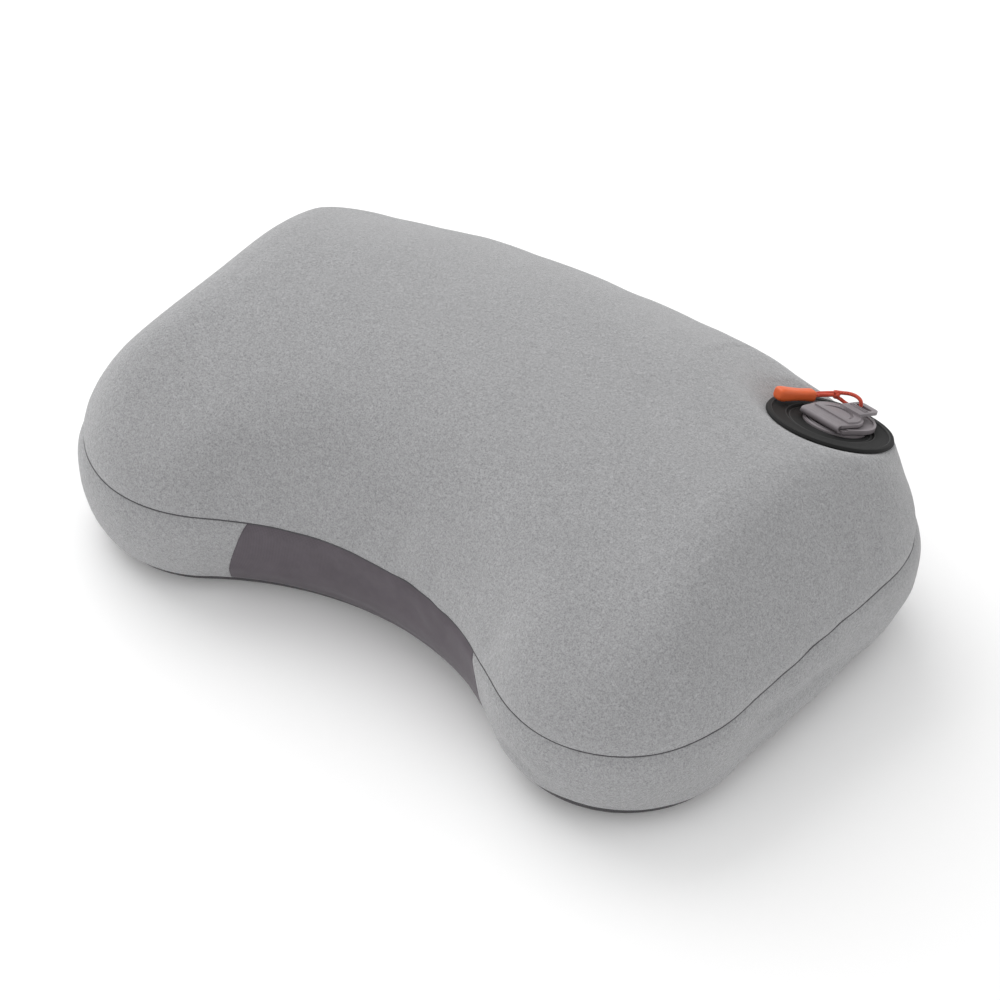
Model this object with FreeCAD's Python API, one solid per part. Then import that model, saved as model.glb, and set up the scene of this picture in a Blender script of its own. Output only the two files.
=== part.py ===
"""Inflatable camp pillow: a kidney-shaped fabric shell round a welded bladder, with a two-stage flap valve.

Millimetres. The origin is the middle of the underside, +X runs to the user's right along the pillow's length,
+Y to the back edge, away from the neck cut-out, and +Z up. The shell lies on Z = 0.
"""
import FreeCAD, Part
import math
import os

V = FreeCAD.Vector

# ---- plan outline of the shell ----
WIDTH = 410.0            # across both ends
DEPTH = 276.0            # from the front lobes to the back edge
NECK_DEPTH = 42.0        # how far the neck cut-out runs in from the front lobes
BACK_RADIUS = 744.0      # the long back edge
END_RADIUS = 1633.0      # the two nearly straight ends
BACK_CORNER_RADIUS = 66.0
BACK_CORNER_X = 140.0    # centre of a back corner, from the middle
LOBE_RADIUS = 70.0       # the two front lobes

# ---- section of the shell ----
WIDEST_Z = 50.0          # height of the widest girth
EDGE_TOP_Z = 130.0       # where the rolled edge would end without the dome
TOP_INSET = 57.0         # how far the rolled edge runs in above the widest girth
TOP_CURVE = 1.45
FOOT_INSET = 24.0        # and below it
FOOT_CURVE = 2.2
NECK_UNDERCUT = 10.0     # the neck wall leans in this much more at the foot
LEAN_PER_MM = 0.00064    # radians that a level leans up to the back for each mm of its height
SHELL_STEPS = (3, 5)     # levels of the form below and above its widest girth
BLADDER_STEPS = (2, 3)
DOME_TOP_Z = 125.0
DOME_RADIUS = 200.0
DOME_Y = 5.0             # the crown's line, behind the middle

# ---- cloth, seams and bladder ----
CLOTH = 1.5              # thickness of the shell's cloth
SEAM_Z = 60.0            # seam between the top panel and the band below it
FOOT_SEAM_Z = 8.0        # seam between the band and the base panel
BINDING_HEIGHT = 1.2     # bound seam allowance, turned inwards
BINDING_DEPTH = 4.4
BINDING_SINK = 0.6       # how far the binding sits back in the groove between two panels
PANEL_HALF_TOP = 72.0    # half length of the neck panel at the seam
PANEL_HALF_FOOT = 88.0   # and at the foot seam
FILM = 0.6               # thickness of the bladder's coated film
BLADDER_GAP = 5.5        # from the shell's outside in to the bladder, at the sides
BLADDER_LIFT = 2.0       # the same at the top and the base
WELD_Z = 42.0            # the bladder's welded rim
WELD_RIM_INSET = 2.2     # from the shell's outside to the rim's edge
BAFFLE = 0.8
BAFFLE_STRIP = 8.0       # width of the strip that welds a baffle to the film
BAFFLE_Y = (-50.0, -6.0, 38.0, 82.0)     # where each baffle crosses the middle
BAFFLE_HALF = (118.0, 124.0, 122.0, 104.0)
BAFFLE_HOLE_RADIUS = 11.0
BAFFLE_HOLE_Z = 58.0
BAFFLE_HOLE_X = (-78.0, 0.0, 78.0)

# ---- valve, in its own frame: x across the flaps, y from the cap's hinge to its tab, z out of the pillow ----
VALVE_X = 143.0
VALVE_Y = 88.0
VALVE_SINK = 1.5         # how far the disc's face lies under the dome
MOUND_RIM = 1.2          # fullness of the shell round the disc's edge
MOUND_FLARE = 2.0
MOUND_DEPTH = 30.0
FLAP_TURN = math.radians(9.0)
DISC_RADIUS = 33.5
DISC = 1.2               # thickness of the black disc
RIM_WIDTH = 2.6
RIM_HEIGHT = 0.8
STEP_RADIUS = 22.3       # first step down, round the disc's middle
STEP_DEPTH = 1.0
SEAT_Y = 3.5             # the seat's centre, towards the tab
COLLAR_RADIUS = 16.5
COLLAR_TOP = 0.05
COLLAR_FIT = 0.4         # gap between the collar and the disc's second step
COLLAR_BED = -2.0        # top of the second step
RIDGE_RADII = (13.4, 15.4)
RIDGE_HEIGHT = 0.45
RIDGE_WIDTH = 0.7
THROAT_RADIUS = 11.0
THROAT_WALL = 1.5
THROAT_END = -11.0
WELD_FLANGE_RADIUS = 24.0
WELD_FLANGE = 1.2
PLUG_FIT = 0.4           # gap between the deflation plug and the throat
PLUG_TAPER = 0.7
PLUG_WALL = 1.3
PLUG_END = -3.4
BEAD = 0.25              # the plug's bead, and the groove that it snaps into
BEAD_LIFT = 1.0          # of the bead, from the plug's end
LEAD_IN = 0.5
PORT_RADIUS = 5.5
PORT_WALL = 1.2
SPIDER = 0.8
SPIDER_ARM = 1.3
HUB_RADIUS = 1.9
STEM_RADIUS = 0.6
STEM_FIT = 0.25
STEM_HEAD_RADIUS = 1.3
MEMBRANE = 0.5
MEMBRANE_LIFT = 1.0      # travel of the check membrane
MEMBRANE_GAP = 0.05
FLAP_BOTTOM = 0.95
FLAP_PLATE = 1.65
FLAP_RIM = 0.6
FLAP_RIM_WIDTH = 1.5
FLAP_RADIUS = 17.5
FLAP_CENTRE_Y = 8.5
HINGE_Y = -8.0           # straight side of both flaps
FLAP_HALF = 14.0         # half length of that side
STRAP = 0.8
CAP_GAP = 0.2            # between the flap's rim and the cap
CAP_PLATE = 1.6
CAP_RADIUS = 13.6
CAP_CENTRE_Y = 3.4
CAP_HALF = 12.6
CAP_CONTOUR = 0.8
CAP_CONTOUR_INSET = 1.6
CAP_PLUG_FIT = 0.35
CAP_PLUG_DEPTH = 2.6
CRESCENT_OUTER = 8.2
CRESCENT_SHIFT = 2.4
CRESCENT_DEPTH = 1.1
TAB_X = 1.0              # middle of the tab
TAB_HALF = 6.6
TAB_END_Y = 28.0
TAB_CORNER = 3.4
SLOT_Y = 22.6
SLOT_LENGTH = 9.2
SLOT_WIDTH = 3.2
TAB_LIFT = 0.6           # from the cap's plate up to the tab's underside, so that the cord passes below
TAB = 1.6
GRIP_BAR_Y = (17.6, 19.4)
FOLD_GAP = 1.2           # inside the folded strap, between flap and cap
FOLD_LEG = 0.4           # straight part of the fold, before its half turn
LIFT_STRAP_HALF = 5.0    # the strap that ties the deflation flap to the seat
LIFT_STRAP = 0.6
LIFT_AXIS_Y = 28.6

# ---- pull ----
CORD = 2.0               # diameter
GRIP_LENGTH = 24.0
GRIP_MOUTH_RADIUS = 3.0
GRIP_WAIST_RADIUS = 2.9
GRIP_END_RADIUS = 3.7
GRIP_MOUTH = V(-22.4, 10.0, 4.4)
GRIP_END = V(-27.0, -13.6, 5.0)
KNOT = V(-15.0, 19.0, 7.4)
KNOT_RADIUS = 2.2
KNOT_GAP = 0.3
LOOP = (V(-15.7, 18.5, 8.5), V(-13.0, 19.9, 9.1), V(-9.2, 21.4, 10.4), V(-4.8, 22.5, 10.6),
        V(-1.3, 22.6, 9.2), V(-1.3, 22.6, 4.35), V(-6.2, 22.3, 4.35), V(-10.4, 21.1, 4.9),
        V(-13.4, 19.7, 6.2), V(-15.7, 18.5, 6.2))
STRANDS = ((V(-16.2, 17.6, 6.8), V(-19.6, 13.6, 5.4), V(-21.5, 9.0, 4.4)),
           (V(-17.0, 19.0, 7.2), V(-21.0, 15.4, 5.6), V(-23.3, 9.0, 4.4)))


def unit(v):
    return v.multiply(1.0 / v.Length)


def tangent_arc_centre(a, ra, b, rb):
    """The point at ra from a and rb from b, on the side of a-to-b's left hand."""
    d = b.sub(a)
    along = (d.Length ** 2 + ra ** 2 - rb ** 2) / (2 * d.Length)
    off = math.sqrt(ra ** 2 - along ** 2)
    e = unit(V(d))
    return a + e * along + V(-e.y, e.x, 0) * off


def arc(centre, radius, start, end):
    """The short arc from start to end."""
    mid = unit((start - centre) + (end - centre))
    return Part.Arc(start, centre + mid * radius, end).toShape()


def mirror(p):
    return V(-p.x, p.y, p.z)


BACK_CENTRE = V(0, DEPTH / 2 - BACK_RADIUS, 0)
CORNER_CENTRE = V(BACK_CORNER_X, BACK_CENTRE.y
                  + math.sqrt((BACK_RADIUS - BACK_CORNER_RADIUS) ** 2 - BACK_CORNER_X ** 2), 0)
LOBE_CENTRE = V(WIDTH / 2 - LOBE_RADIUS, -DEPTH / 2 + LOBE_RADIUS, 0)
END_CENTRE = tangent_arc_centre(LOBE_CENTRE, END_RADIUS - LOBE_RADIUS,
                                CORNER_CENTRE, END_RADIUS - BACK_CORNER_RADIUS)


def neck_circle(inset, undercut):
    """Centre and radius of the neck arc that touches both front lobes."""
    top = -DEPTH / 2 + NECK_DEPTH + inset + undercut
    lobe = LOBE_RADIUS - inset
    k = top - LOBE_CENTRE.y
    radius = (LOBE_CENTRE.x ** 2 + k * k - lobe * lobe) / (2 * (lobe + k))
    return V(0, top - radius, 0), radius


def outline(inset, undercut=0.0):
    """The plan outline, moved in by inset, as eight tangent arcs."""
    neck, neck_radius = neck_circle(inset, undercut)
    back = BACK_CENTRE + unit(CORNER_CENTRE - BACK_CENTRE) * (BACK_RADIUS - inset)
    upper = END_CENTRE + unit(CORNER_CENTRE - END_CENTRE) * (END_RADIUS - inset)
    lower = END_CENTRE + unit(LOBE_CENTRE - END_CENTRE) * (END_RADIUS - inset)
    lip = neck + unit(LOBE_CENTRE - neck) * neck_radius
    right = [(CORNER_CENTRE, BACK_CORNER_RADIUS - inset, back, upper),
             (END_CENTRE, END_RADIUS - inset, upper, lower),
             (LOBE_CENTRE, LOBE_RADIUS - inset, lower, lip)]
    edges = [arc(BACK_CENTRE, BACK_RADIUS - inset, mirror(back), back)]
    edges += [arc(*piece) for piece in right]
    edges.append(arc(neck, neck_radius, lip, mirror(lip)))
    edges += [arc(mirror(c), r, mirror(b), mirror(a)) for c, r, a, b in reversed(right)]
    return Part.Wire(edges)


def level(wire, z):
    """Lifts a plan wire to its height, leaning it as the pillow leans."""
    wire.rotate(V(0, 0, 0), V(1, 0, 0), math.degrees(LEAN_PER_MM * z))
    wire.translate(V(0, 0, z))
    return wire


def roll(full, share, curve):
    """Inset and rise, as shares of full size, of a point along a rolled edge."""
    angle = share * math.pi / 2
    return full * (1 - math.cos(angle) ** (2 / curve)), math.sin(angle) ** (2 / curve)


def rolled_body(side, low, high, foot_steps, top_steps):
    """The shell's form without its dome, moved in at the sides, the base and the top."""
    rings = []
    for i in range(foot_steps, 0, -1):
        inset, drop = roll(FOOT_INSET, i / foot_steps, FOOT_CURVE)
        rings.append((inset, WIDEST_Z - (WIDEST_Z - low) * drop, NECK_UNDERCUT * drop ** 3))
    for i in range(top_steps + 1):
        inset, rise = roll(TOP_INSET, i / top_steps, TOP_CURVE)
        rings.append((inset, WIDEST_Z + (EDGE_TOP_Z - high - WIDEST_Z) * rise, 0.0))
    wires = [level(outline(inset + side, undercut), z) for inset, z, undercut in rings]
    wires[0] = flat_foot(rings[0], side)
    return Part.makeLoft(wires, True, True)


def flat_foot(ring, side):
    """The lowest outline, which lies level so that the pillow stands on it."""
    inset, z, undercut = ring
    wire = outline(inset + side, undercut)
    wire.translate(V(0, 0, z))
    return wire


def dome(high):
    """Everything under the domed top, a long arched form."""
    half = DEPTH * 0.62
    centre_z = DOME_TOP_Z - DOME_RADIUS
    top = DOME_RADIUS - high
    side_z = centre_z + math.sqrt(top ** 2 - half ** 2)
    x, foot = -WIDTH / 2 - 5, -60.0
    left, right = V(x, DOME_Y - half, side_z), V(x, DOME_Y + half, side_z)
    edges = [Part.Arc(left, V(x, DOME_Y, centre_z + top), right).toShape(),
             Part.makeLine(right, V(x, right.y, foot)),
             Part.makeLine(V(x, right.y, foot), V(x, left.y, foot)),
             Part.makeLine(V(x, left.y, foot), left)]
    return Part.Face(Part.Wire(edges)).extrude(V(WIDTH + 10, 0, 0))


def dome_point():
    """Point and normal of the dome at the valve."""
    across = VALVE_Y - DOME_Y
    rise = math.sqrt(DOME_RADIUS ** 2 - across ** 2)
    return V(VALVE_X, VALVE_Y, DOME_TOP_Z - DOME_RADIUS + rise), unit(V(0, across, rise))


def valve_frame():
    """Placement of the valve's own frame."""
    point, normal = dome_point()
    level_way = unit(normal.cross(V(0, 0, 1)))
    down_way = normal.cross(level_way)
    to_tab = down_way * math.cos(FLAP_TURN) + level_way * math.sin(FLAP_TURN)
    across = to_tab.cross(normal)
    o = point - normal * VALVE_SINK
    return FreeCAD.Placement(FreeCAD.Matrix(across.x, to_tab.x, normal.x, o.x,
                                            across.y, to_tab.y, normal.y, o.y,
                                            across.z, to_tab.z, normal.z, o.z, 0, 0, 0, 1))


def placed(shape):
    """A valve piece, moved from the valve's frame to the pillow's."""
    out = shape.copy()
    out.Placement = valve_frame().multiply(out.Placement)
    return out


def valve_well(deep):
    """The shallow dish in the top panel that the disc lies in."""
    dish = Part.makeCone(DISC_RADIUS + 0.3, DISC_RADIUS + 44.0, 6.0, V(0, 0, -DISC - deep))
    return placed(dish)


def valve_mound(side, deep):
    """The fullness under the disc, where the corner would fall away below its edge."""
    top = -DISC - deep + 0.01
    radius = DISC_RADIUS + MOUND_RIM - side
    return placed(Part.makeCone(radius + MOUND_FLARE, radius, MOUND_DEPTH, V(0, 0, top - MOUND_DEPTH)))


def body(side, low, high, steps=SHELL_STEPS):
    """The pillow's outer form, or the same form moved in at the sides, the base and the top."""
    form = rolled_body(side, low, high, *steps).common(dome(high))
    return form.fuse(valve_mound(side, high)).cut(valve_well(high))


def slab(z0, z1):
    """All the space between two levels, each leaning as the pillow leans there."""
    points = []
    for z, sides in ((z0, (-1, 1)), (z1, (1, -1))):
        rise = WIDTH * math.tan(LEAN_PER_MM * z)
        points += [V(-WIDTH, side * WIDTH, z + side * rise) for side in sides]
    points.append(points[0])
    return Part.Face(Part.makePolygon(points)).extrude(V(2 * WIDTH, 0, 0))


def neck_wedge():
    """The space in front of the pillow's middle that the neck panel lies in."""
    slope = (PANEL_HALF_FOOT - PANEL_HALF_TOP) / (SEAM_Z - FOOT_SEAM_Z)
    low, high = -20.0, 160.0
    wide = PANEL_HALF_TOP + (SEAM_Z - low) * slope
    slim = PANEL_HALF_TOP + (SEAM_Z - high) * slope
    points = [V(-wide, 0, low), V(wide, 0, low), V(slim, 0, high), V(-slim, 0, high), V(-wide, 0, low)]
    return Part.Face(Part.makePolygon(points)).extrude(V(0, -DEPTH, 0))


def cylinder(radius, z0, z1, x=0.0, y=0.0):
    return Part.makeCylinder(radius, z1 - z0, V(x, y, z0))


def ring(outer, inner, z0, z1, y=0.0):
    return cylinder(outer, z0, z1, y=y).cut(cylinder(inner, z0 - 1, z1 + 1, y=y))


def turned(points, y=0.0):
    """A solid of revolution about the valve's z, from (radius, z) points."""
    outline_points = [V(r, 0, z) for r, z in points]
    outline_points.append(outline_points[0])
    solid = Part.Face(Part.makePolygon(outline_points)).revolve(V(0, 0, 0), V(0, 0, 1), 360)
    solid.translate(V(0, y, 0))
    return solid


def shell_panels():
    """Top panel, band, neck panel and base panel, and the two bound seams between them."""
    skin = body(0, 0, 0).cut(body(CLOTH, CLOTH, CLOTH))
    half = BINDING_HEIGHT / 2
    above = skin.common(slab(SEAM_Z + half, 200))
    between = skin.common(slab(FOOT_SEAM_Z + half, SEAM_Z - half))
    below = skin.common(slab(-20, FOOT_SEAM_Z - half))
    hole = placed(cylinder(STEP_RADIUS + 0.7, -40, 40))
    wedge = neck_wedge()
    bindings = []
    allowance = body(BINDING_SINK, 0.4, 0.4).cut(body(BINDING_SINK + BINDING_DEPTH, 1.5, 1.5))
    for z in (SEAM_Z, FOOT_SEAM_Z):
        bindings.append(allowance.common(slab(z - half, z + half)))
    return {"top_panel": above.cut(hole), "side_band": between.cut(wedge),
            "neck_panel": between.common(wedge), "base_panel": below,
            "top_seam_binding": bindings[0], "foot_seam_binding": bindings[1]}


def bladder():
    """Two films welded at a flat rim, and the baffles that hold them to shape."""
    low, high = BLADDER_LIFT, BLADDER_LIFT + FILM
    outside = body(BLADDER_GAP, low, low, BLADDER_STEPS)
    inside = body(BLADDER_GAP + FILM, high, high, BLADDER_STEPS)
    film = outside.cut(inside)
    rim_body = body(WELD_RIM_INSET, low, low, BLADDER_STEPS).cut(outside)
    hole = placed(cylinder(COLLAR_RADIUS + 1.8, -40, 40, y=SEAT_Y))
    top = film.common(slab(WELD_Z, 200)).fuse(rim_body.common(slab(WELD_Z, WELD_Z + FILM)))
    base = film.common(slab(-20, WELD_Z)).fuse(rim_body.common(slab(WELD_Z - FILM, WELD_Z)))
    nodes = {"bladder_top_film": top.cut(hole), "bladder_base_film": base}
    core = body(BLADDER_GAP + FILM + BAFFLE, high + BAFFLE, high + BAFFLE, BLADDER_STEPS)
    lining = inside.cut(core)
    centre, _ = neck_circle(0, 0)
    for i, (y, reach) in enumerate(zip(BAFFLE_Y, BAFFLE_HALF), 1):
        radius = y - centre.y
        sector = Part.makeBox(2 * reach, WIDTH, 300, V(-reach, centre.y + radius * 0.5, -50))
        web = ring_wall(centre, radius, BAFFLE).common(sector).common(inside)
        strip = ring_wall(centre, radius, BAFFLE_STRIP).common(sector).common(lining)
        strip = strip.cut(slab(16, 62))
        for x in BAFFLE_HOLE_X:
            bore = Part.makeCylinder(BAFFLE_HOLE_RADIUS, WIDTH, V(x, centre.y, BAFFLE_HOLE_Z), V(0, 1, 0))
            web = web.cut(bore)
        nodes["baffle_%d" % i] = web.fuse(strip)
    return nodes


def ring_wall(centre, radius, thick):
    """A tall upright wall of the given thickness, curved about centre."""
    outer = Part.makeCylinder(radius + thick / 2, 300, V(centre.x, centre.y, -50))
    return outer.cut(Part.makeCylinder(radius - thick / 2, 300, V(centre.x, centre.y, -50)))


def valve_surround():
    """The black disc: a raised rim, a broad face and two steps down to the seat."""
    bed_hole = THROAT_RADIUS + THROAT_WALL + 0.2
    face = turned([(0, -DISC), (DISC_RADIUS - 0.5, -DISC), (DISC_RADIUS, -DISC / 2),
                   (DISC_RADIUS - 0.6, RIM_HEIGHT), (DISC_RADIUS - RIM_WIDTH, RIM_HEIGHT),
                   (DISC_RADIUS - RIM_WIDTH - 0.8, 0), (STEP_RADIUS + 0.6, 0),
                   (STEP_RADIUS, -STEP_DEPTH), (0, -STEP_DEPTH)])
    face = face.fuse(cylinder(STEP_RADIUS, -STEP_DEPTH - DISC, -DISC / 2 - 0.2))
    tray = COLLAR_RADIUS + COLLAR_FIT
    face = face.cut(cylinder(tray, -5, 5, y=SEAT_Y))
    bed = ring(tray + DISC, bed_hole, COLLAR_BED - DISC, COLLAR_BED, y=SEAT_Y)
    wall = ring(tray + DISC, tray, COLLAR_BED - DISC, -STEP_DEPTH, y=SEAT_Y)
    return face.fuse([bed, wall]).removeSplitter()


def seat():
    """The moulded seat: a ridged collar on a throat tube."""
    r, wall = THROAT_RADIUS, THROAT_RADIUS + THROAT_WALL
    groove = PLUG_END + BEAD_LIFT
    points = [(r, THROAT_END), (wall, THROAT_END), (wall, COLLAR_BED), (COLLAR_RADIUS, COLLAR_BED),
              (COLLAR_RADIUS, COLLAR_TOP)]
    for ridge in reversed(RIDGE_RADII):
        top = COLLAR_TOP + RIDGE_HEIGHT
        points += [(ridge + RIDGE_WIDTH / 2, COLLAR_TOP), (ridge, top), (ridge - RIDGE_WIDTH / 2, COLLAR_TOP)]
    points += [(r + LEAD_IN, COLLAR_TOP), (r, COLLAR_TOP - LEAD_IN), (r, groove + LEAD_IN),
               (r + BEAD, groove), (r, groove - LEAD_IN)]
    return turned(points, y=SEAT_Y)


def weld_flange():
    """Thin ring inside the bladder that joins the valve to the film."""
    top = -DISC - BLADDER_LIFT - FILM
    return ring(WELD_FLANGE_RADIUS, THROAT_RADIUS + THROAT_WALL, top - WELD_FLANGE, top, y=SEAT_Y)


def tangent_point(point, centre, radius, side):
    """Where a line from point touches a circle, on the given side."""
    d = point.sub(centre)
    turn = math.acos(radius / d.Length) * side
    e = unit(V(d)) * radius
    return centre + V(e.x * math.cos(turn) - e.y * math.sin(turn),
                      e.x * math.sin(turn) + e.y * math.cos(turn), 0)


def flap_plan(half, radius, centre_y, inset=0.0):
    """A flap's plan: a straight hinge side that widens onto a round end."""
    centre = V(0, centre_y, 0)
    right = V(half - inset, HINGE_Y + inset, 0)
    touch = tangent_point(right, centre, radius - inset, 1)
    far = V(0, centre_y + radius - inset, 0)
    edges = [Part.makeLine(mirror(right), right), Part.makeLine(right, touch),
             Part.Arc(touch, far, mirror(touch)).toShape(), Part.makeLine(mirror(touch), mirror(right))]
    return Part.Face(Part.Wire(edges))


def prism(face, z0, z1):
    out = face.copy()
    out.translate(V(0, 0, z0))
    return out.extrude(V(0, 0, z1 - z0))


FLAP_TOP = FLAP_BOTTOM + FLAP_PLATE
CAP_BOTTOM = FLAP_TOP + FLAP_RIM + CAP_GAP
CAP_TOP = CAP_BOTTOM + CAP_PLATE
FOLD_Z = FLAP_TOP - 0.2 + FOLD_GAP / 2


def deflate_flap():
    """The lower flap: a rimmed plate on a tapered plug, with the inflation port through its middle."""
    plan = flap_plan(FLAP_HALF, FLAP_RADIUS, FLAP_CENTRE_Y)
    within = flap_plan(FLAP_HALF, FLAP_RADIUS, FLAP_CENTRE_Y, FLAP_RIM_WIDTH)
    plate = prism(plan, FLAP_BOTTOM, FLAP_TOP)
    rim = prism(plan, FLAP_TOP, FLAP_TOP + FLAP_RIM).cut(prism(within, FLAP_TOP - 1, FLAP_TOP + 2))
    hinge_side = Part.makeBox(40, 4, 4, V(-20, HINGE_Y - 0.5, FLAP_TOP))
    outer = THROAT_RADIUS - PLUG_FIT
    foot = outer - PLUG_TAPER
    groove = PLUG_END + BEAD_LIFT
    mid = outer - PLUG_TAPER * (FLAP_BOTTOM - groove) / (FLAP_BOTTOM - PLUG_END)
    plug = turned([(outer - PLUG_WALL, FLAP_BOTTOM + 0.5), (outer, FLAP_BOTTOM + 0.5), (outer, FLAP_BOTTOM),
                   (mid, groove + LEAD_IN), (mid + BEAD, groove), (mid, groove - LEAD_IN), (foot, PLUG_END),
                   (foot - PLUG_WALL, PLUG_END)], y=SEAT_Y)
    port_outer = PORT_RADIUS + PORT_WALL
    port = cylinder(port_outer, PLUG_END, FLAP_TOP, y=SEAT_Y)
    port_floor = PLUG_END + SPIDER
    flap = plate.fuse([rim.cut(hinge_side), plug, port])
    flap = flap.cut(cylinder(PORT_RADIUS, port_floor, FLAP_TOP + 5, y=SEAT_Y))
    windows = cylinder(PORT_RADIUS, PLUG_END - 1, port_floor + 0.1, y=SEAT_Y)
    windows = windows.cut(cylinder(HUB_RADIUS, PLUG_END - 2, port_floor + 1, y=SEAT_Y))
    for turn in (0, 90):
        arm = Part.makeBox(4 * PORT_RADIUS, SPIDER_ARM, 6, V(-2 * PORT_RADIUS, SEAT_Y - SPIDER_ARM / 2, PLUG_END - 2))
        arm.rotate(V(0, SEAT_Y, 0), V(0, 0, 1), turn)
        windows = windows.cut(arm)
    flap = flap.cut(windows)
    return flap.cut(cylinder(STEM_RADIUS + STEM_FIT, PLUG_END - 2, 0, y=SEAT_Y)).removeSplitter()


def check_membrane():
    """Soft disc under the port, hung on a stem with a head above the spider."""
    top = PLUG_END - MEMBRANE_GAP
    head = PLUG_END + SPIDER + MEMBRANE_LIFT + 0.1
    return turned([(0, top - MEMBRANE), (PORT_RADIUS + 0.8, top - MEMBRANE), (PORT_RADIUS + 0.8, top),
                   (STEM_RADIUS, top), (STEM_RADIUS, head), (STEM_HEAD_RADIUS, head),
                   (STEM_HEAD_RADIUS - 0.5, head + 0.9), (0, head + 0.9)], y=SEAT_Y)


def tab_plan():
    """The lifting tab, with rounded outer corners."""
    left, right = TAB_X - TAB_HALF, TAB_X + TAB_HALF
    root = CAP_CENTRE_Y + CAP_RADIUS * 0.6
    block = Part.makeBox(right - left, TAB_END_Y - root, 1, V(left, root, 0))
    corners = [e for e in block.Edges if len(e.Vertexes) == 2 and abs(e.Vertexes[0].Z - e.Vertexes[1].Z) > 0.5
               and e.Vertexes[0].Y > TAB_END_Y - 0.1]
    return block.makeFillet(TAB_CORNER, corners)


def inflate_cap():
    """The upper flap: a contoured plate with a finger crescent, a plug for the port and a slotted tab."""
    plan = flap_plan(CAP_HALF, CAP_RADIUS, CAP_CENTRE_Y)
    plate = prism(plan, CAP_BOTTOM, CAP_TOP)
    inner = flap_plan(CAP_HALF, CAP_RADIUS, CAP_CENTRE_Y, CAP_CONTOUR_INSET)
    front = Part.makeBox(60, 60, 20, V(-30, HINGE_Y + 6.5, -5))
    contour = prism(inner, CAP_TOP, CAP_TOP + CAP_CONTOUR).common(front)
    tab = stretch(tab_plan(), CAP_TOP + TAB_LIFT, CAP_TOP + TAB_LIFT + TAB)
    riser = stretch(tab_plan(), CAP_TOP - 0.3, CAP_TOP + TAB_LIFT + 0.2).common(prism(plan, 0, 20))
    outer = PORT_RADIUS - CAP_PLUG_FIT
    plug = turned([(0, CAP_BOTTOM + 0.5), (outer, CAP_BOTTOM + 0.5), (outer, CAP_BOTTOM),
                   (outer - 0.5, CAP_BOTTOM - CAP_PLUG_DEPTH), (0, CAP_BOTTOM - CAP_PLUG_DEPTH)], y=SEAT_Y)
    cap = plate.fuse([contour, tab, riser, plug])
    bottom = CAP_TOP + CAP_CONTOUR - CRESCENT_DEPTH
    crescent = cylinder(CRESCENT_OUTER, bottom, CAP_TOP + 5, y=CAP_CENTRE_Y)
    crescent = crescent.cut(cylinder(CRESCENT_OUTER, bottom - 1, CAP_TOP + 6, y=CAP_CENTRE_Y - CRESCENT_SHIFT))
    cap = cap.cut(crescent)
    for y in GRIP_BAR_Y:
        bar = Part.makeBox(2 * TAB_HALF - 3, 0.7, 0.8, V(TAB_X - TAB_HALF + 1.5, y - 0.35, CAP_TOP + TAB_LIFT + TAB - 0.3))
        cap = cap.fuse(bar)
    return cap.cut(slot()).removeSplitter()


def stretch(flat, z0, z1):
    """A plan solid one unit thick, taken to its real heights."""
    grow = FreeCAD.Matrix(1, 0, 0, 0, 0, 1, 0, 0, 0, 0, z1 - z0, z0, 0, 0, 0, 1)
    return flat.transformGeometry(grow)


def slot():
    """The slot in the tab that the cord passes through, with round ends."""
    reach = SLOT_LENGTH / 2 - SLOT_WIDTH / 2
    cut = Part.makeBox(2 * reach, SLOT_WIDTH, 20, V(TAB_X - reach, SLOT_Y - SLOT_WIDTH / 2, -5))
    for side in (-1, 1):
        cut = cut.fuse(cylinder(SLOT_WIDTH / 2, -5, 15, x=TAB_X + side * reach, y=SLOT_Y))
    return cut


def bent_strap(half, thick, axis_y, axis_z, inner, leg_low, leg_high, side):
    """A strap folded round an axis: two legs joined by a half turn, side being the way it bulges."""
    def at(y, z):
        return V(-half, axis_y + side * y, axis_z + z)
    outer = inner + thick
    edges = [Part.Arc(at(0, -outer), at(outer, 0), at(0, outer)).toShape(),
             Part.makeLine(at(0, outer), at(-leg_high, outer)),
             Part.makeLine(at(-leg_high, outer), at(-leg_high, inner)),
             Part.makeLine(at(-leg_high, inner), at(0, inner)),
             Part.Arc(at(0, inner), at(inner, 0), at(0, -inner)).toShape(),
             Part.makeLine(at(0, -inner), at(-leg_low, -inner)),
             Part.makeLine(at(-leg_low, -inner), at(-leg_low, -outer)),
             Part.makeLine(at(-leg_low, -outer), at(0, -outer))]
    return Part.Face(Part.Wire(edges)).extrude(V(2 * half, 0, 0))


def cap_strap():
    """The fold between the two flaps, on their straight side."""
    return bent_strap(CAP_HALF, STRAP, HINGE_Y - FOLD_LEG, FOLD_Z, FOLD_GAP / 2, FOLD_LEG, FOLD_LEG, -1)


def flap_strap():
    """The strap from the seat's collar, under the tab, to the round end of the deflation flap."""
    low = COLLAR_TOP
    inner = (FLAP_BOTTOM + 0.4 - low - LIFT_STRAP) / 2
    axis_z = low + LIFT_STRAP + inner
    reach_low = LIFT_AXIS_Y - (SEAT_Y + COLLAR_RADIUS - LIFT_STRAP)
    reach_high = LIFT_AXIS_Y - (FLAP_CENTRE_Y + FLAP_RADIUS) - 0.05
    strap = bent_strap(LIFT_STRAP_HALF, LIFT_STRAP, LIFT_AXIS_Y, axis_z, inner, reach_low, reach_high, 1)
    return strap.cut(prism(flap_plan(FLAP_HALF, FLAP_RADIUS + 0.05, FLAP_CENTRE_Y), 0.7, 5))


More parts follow.
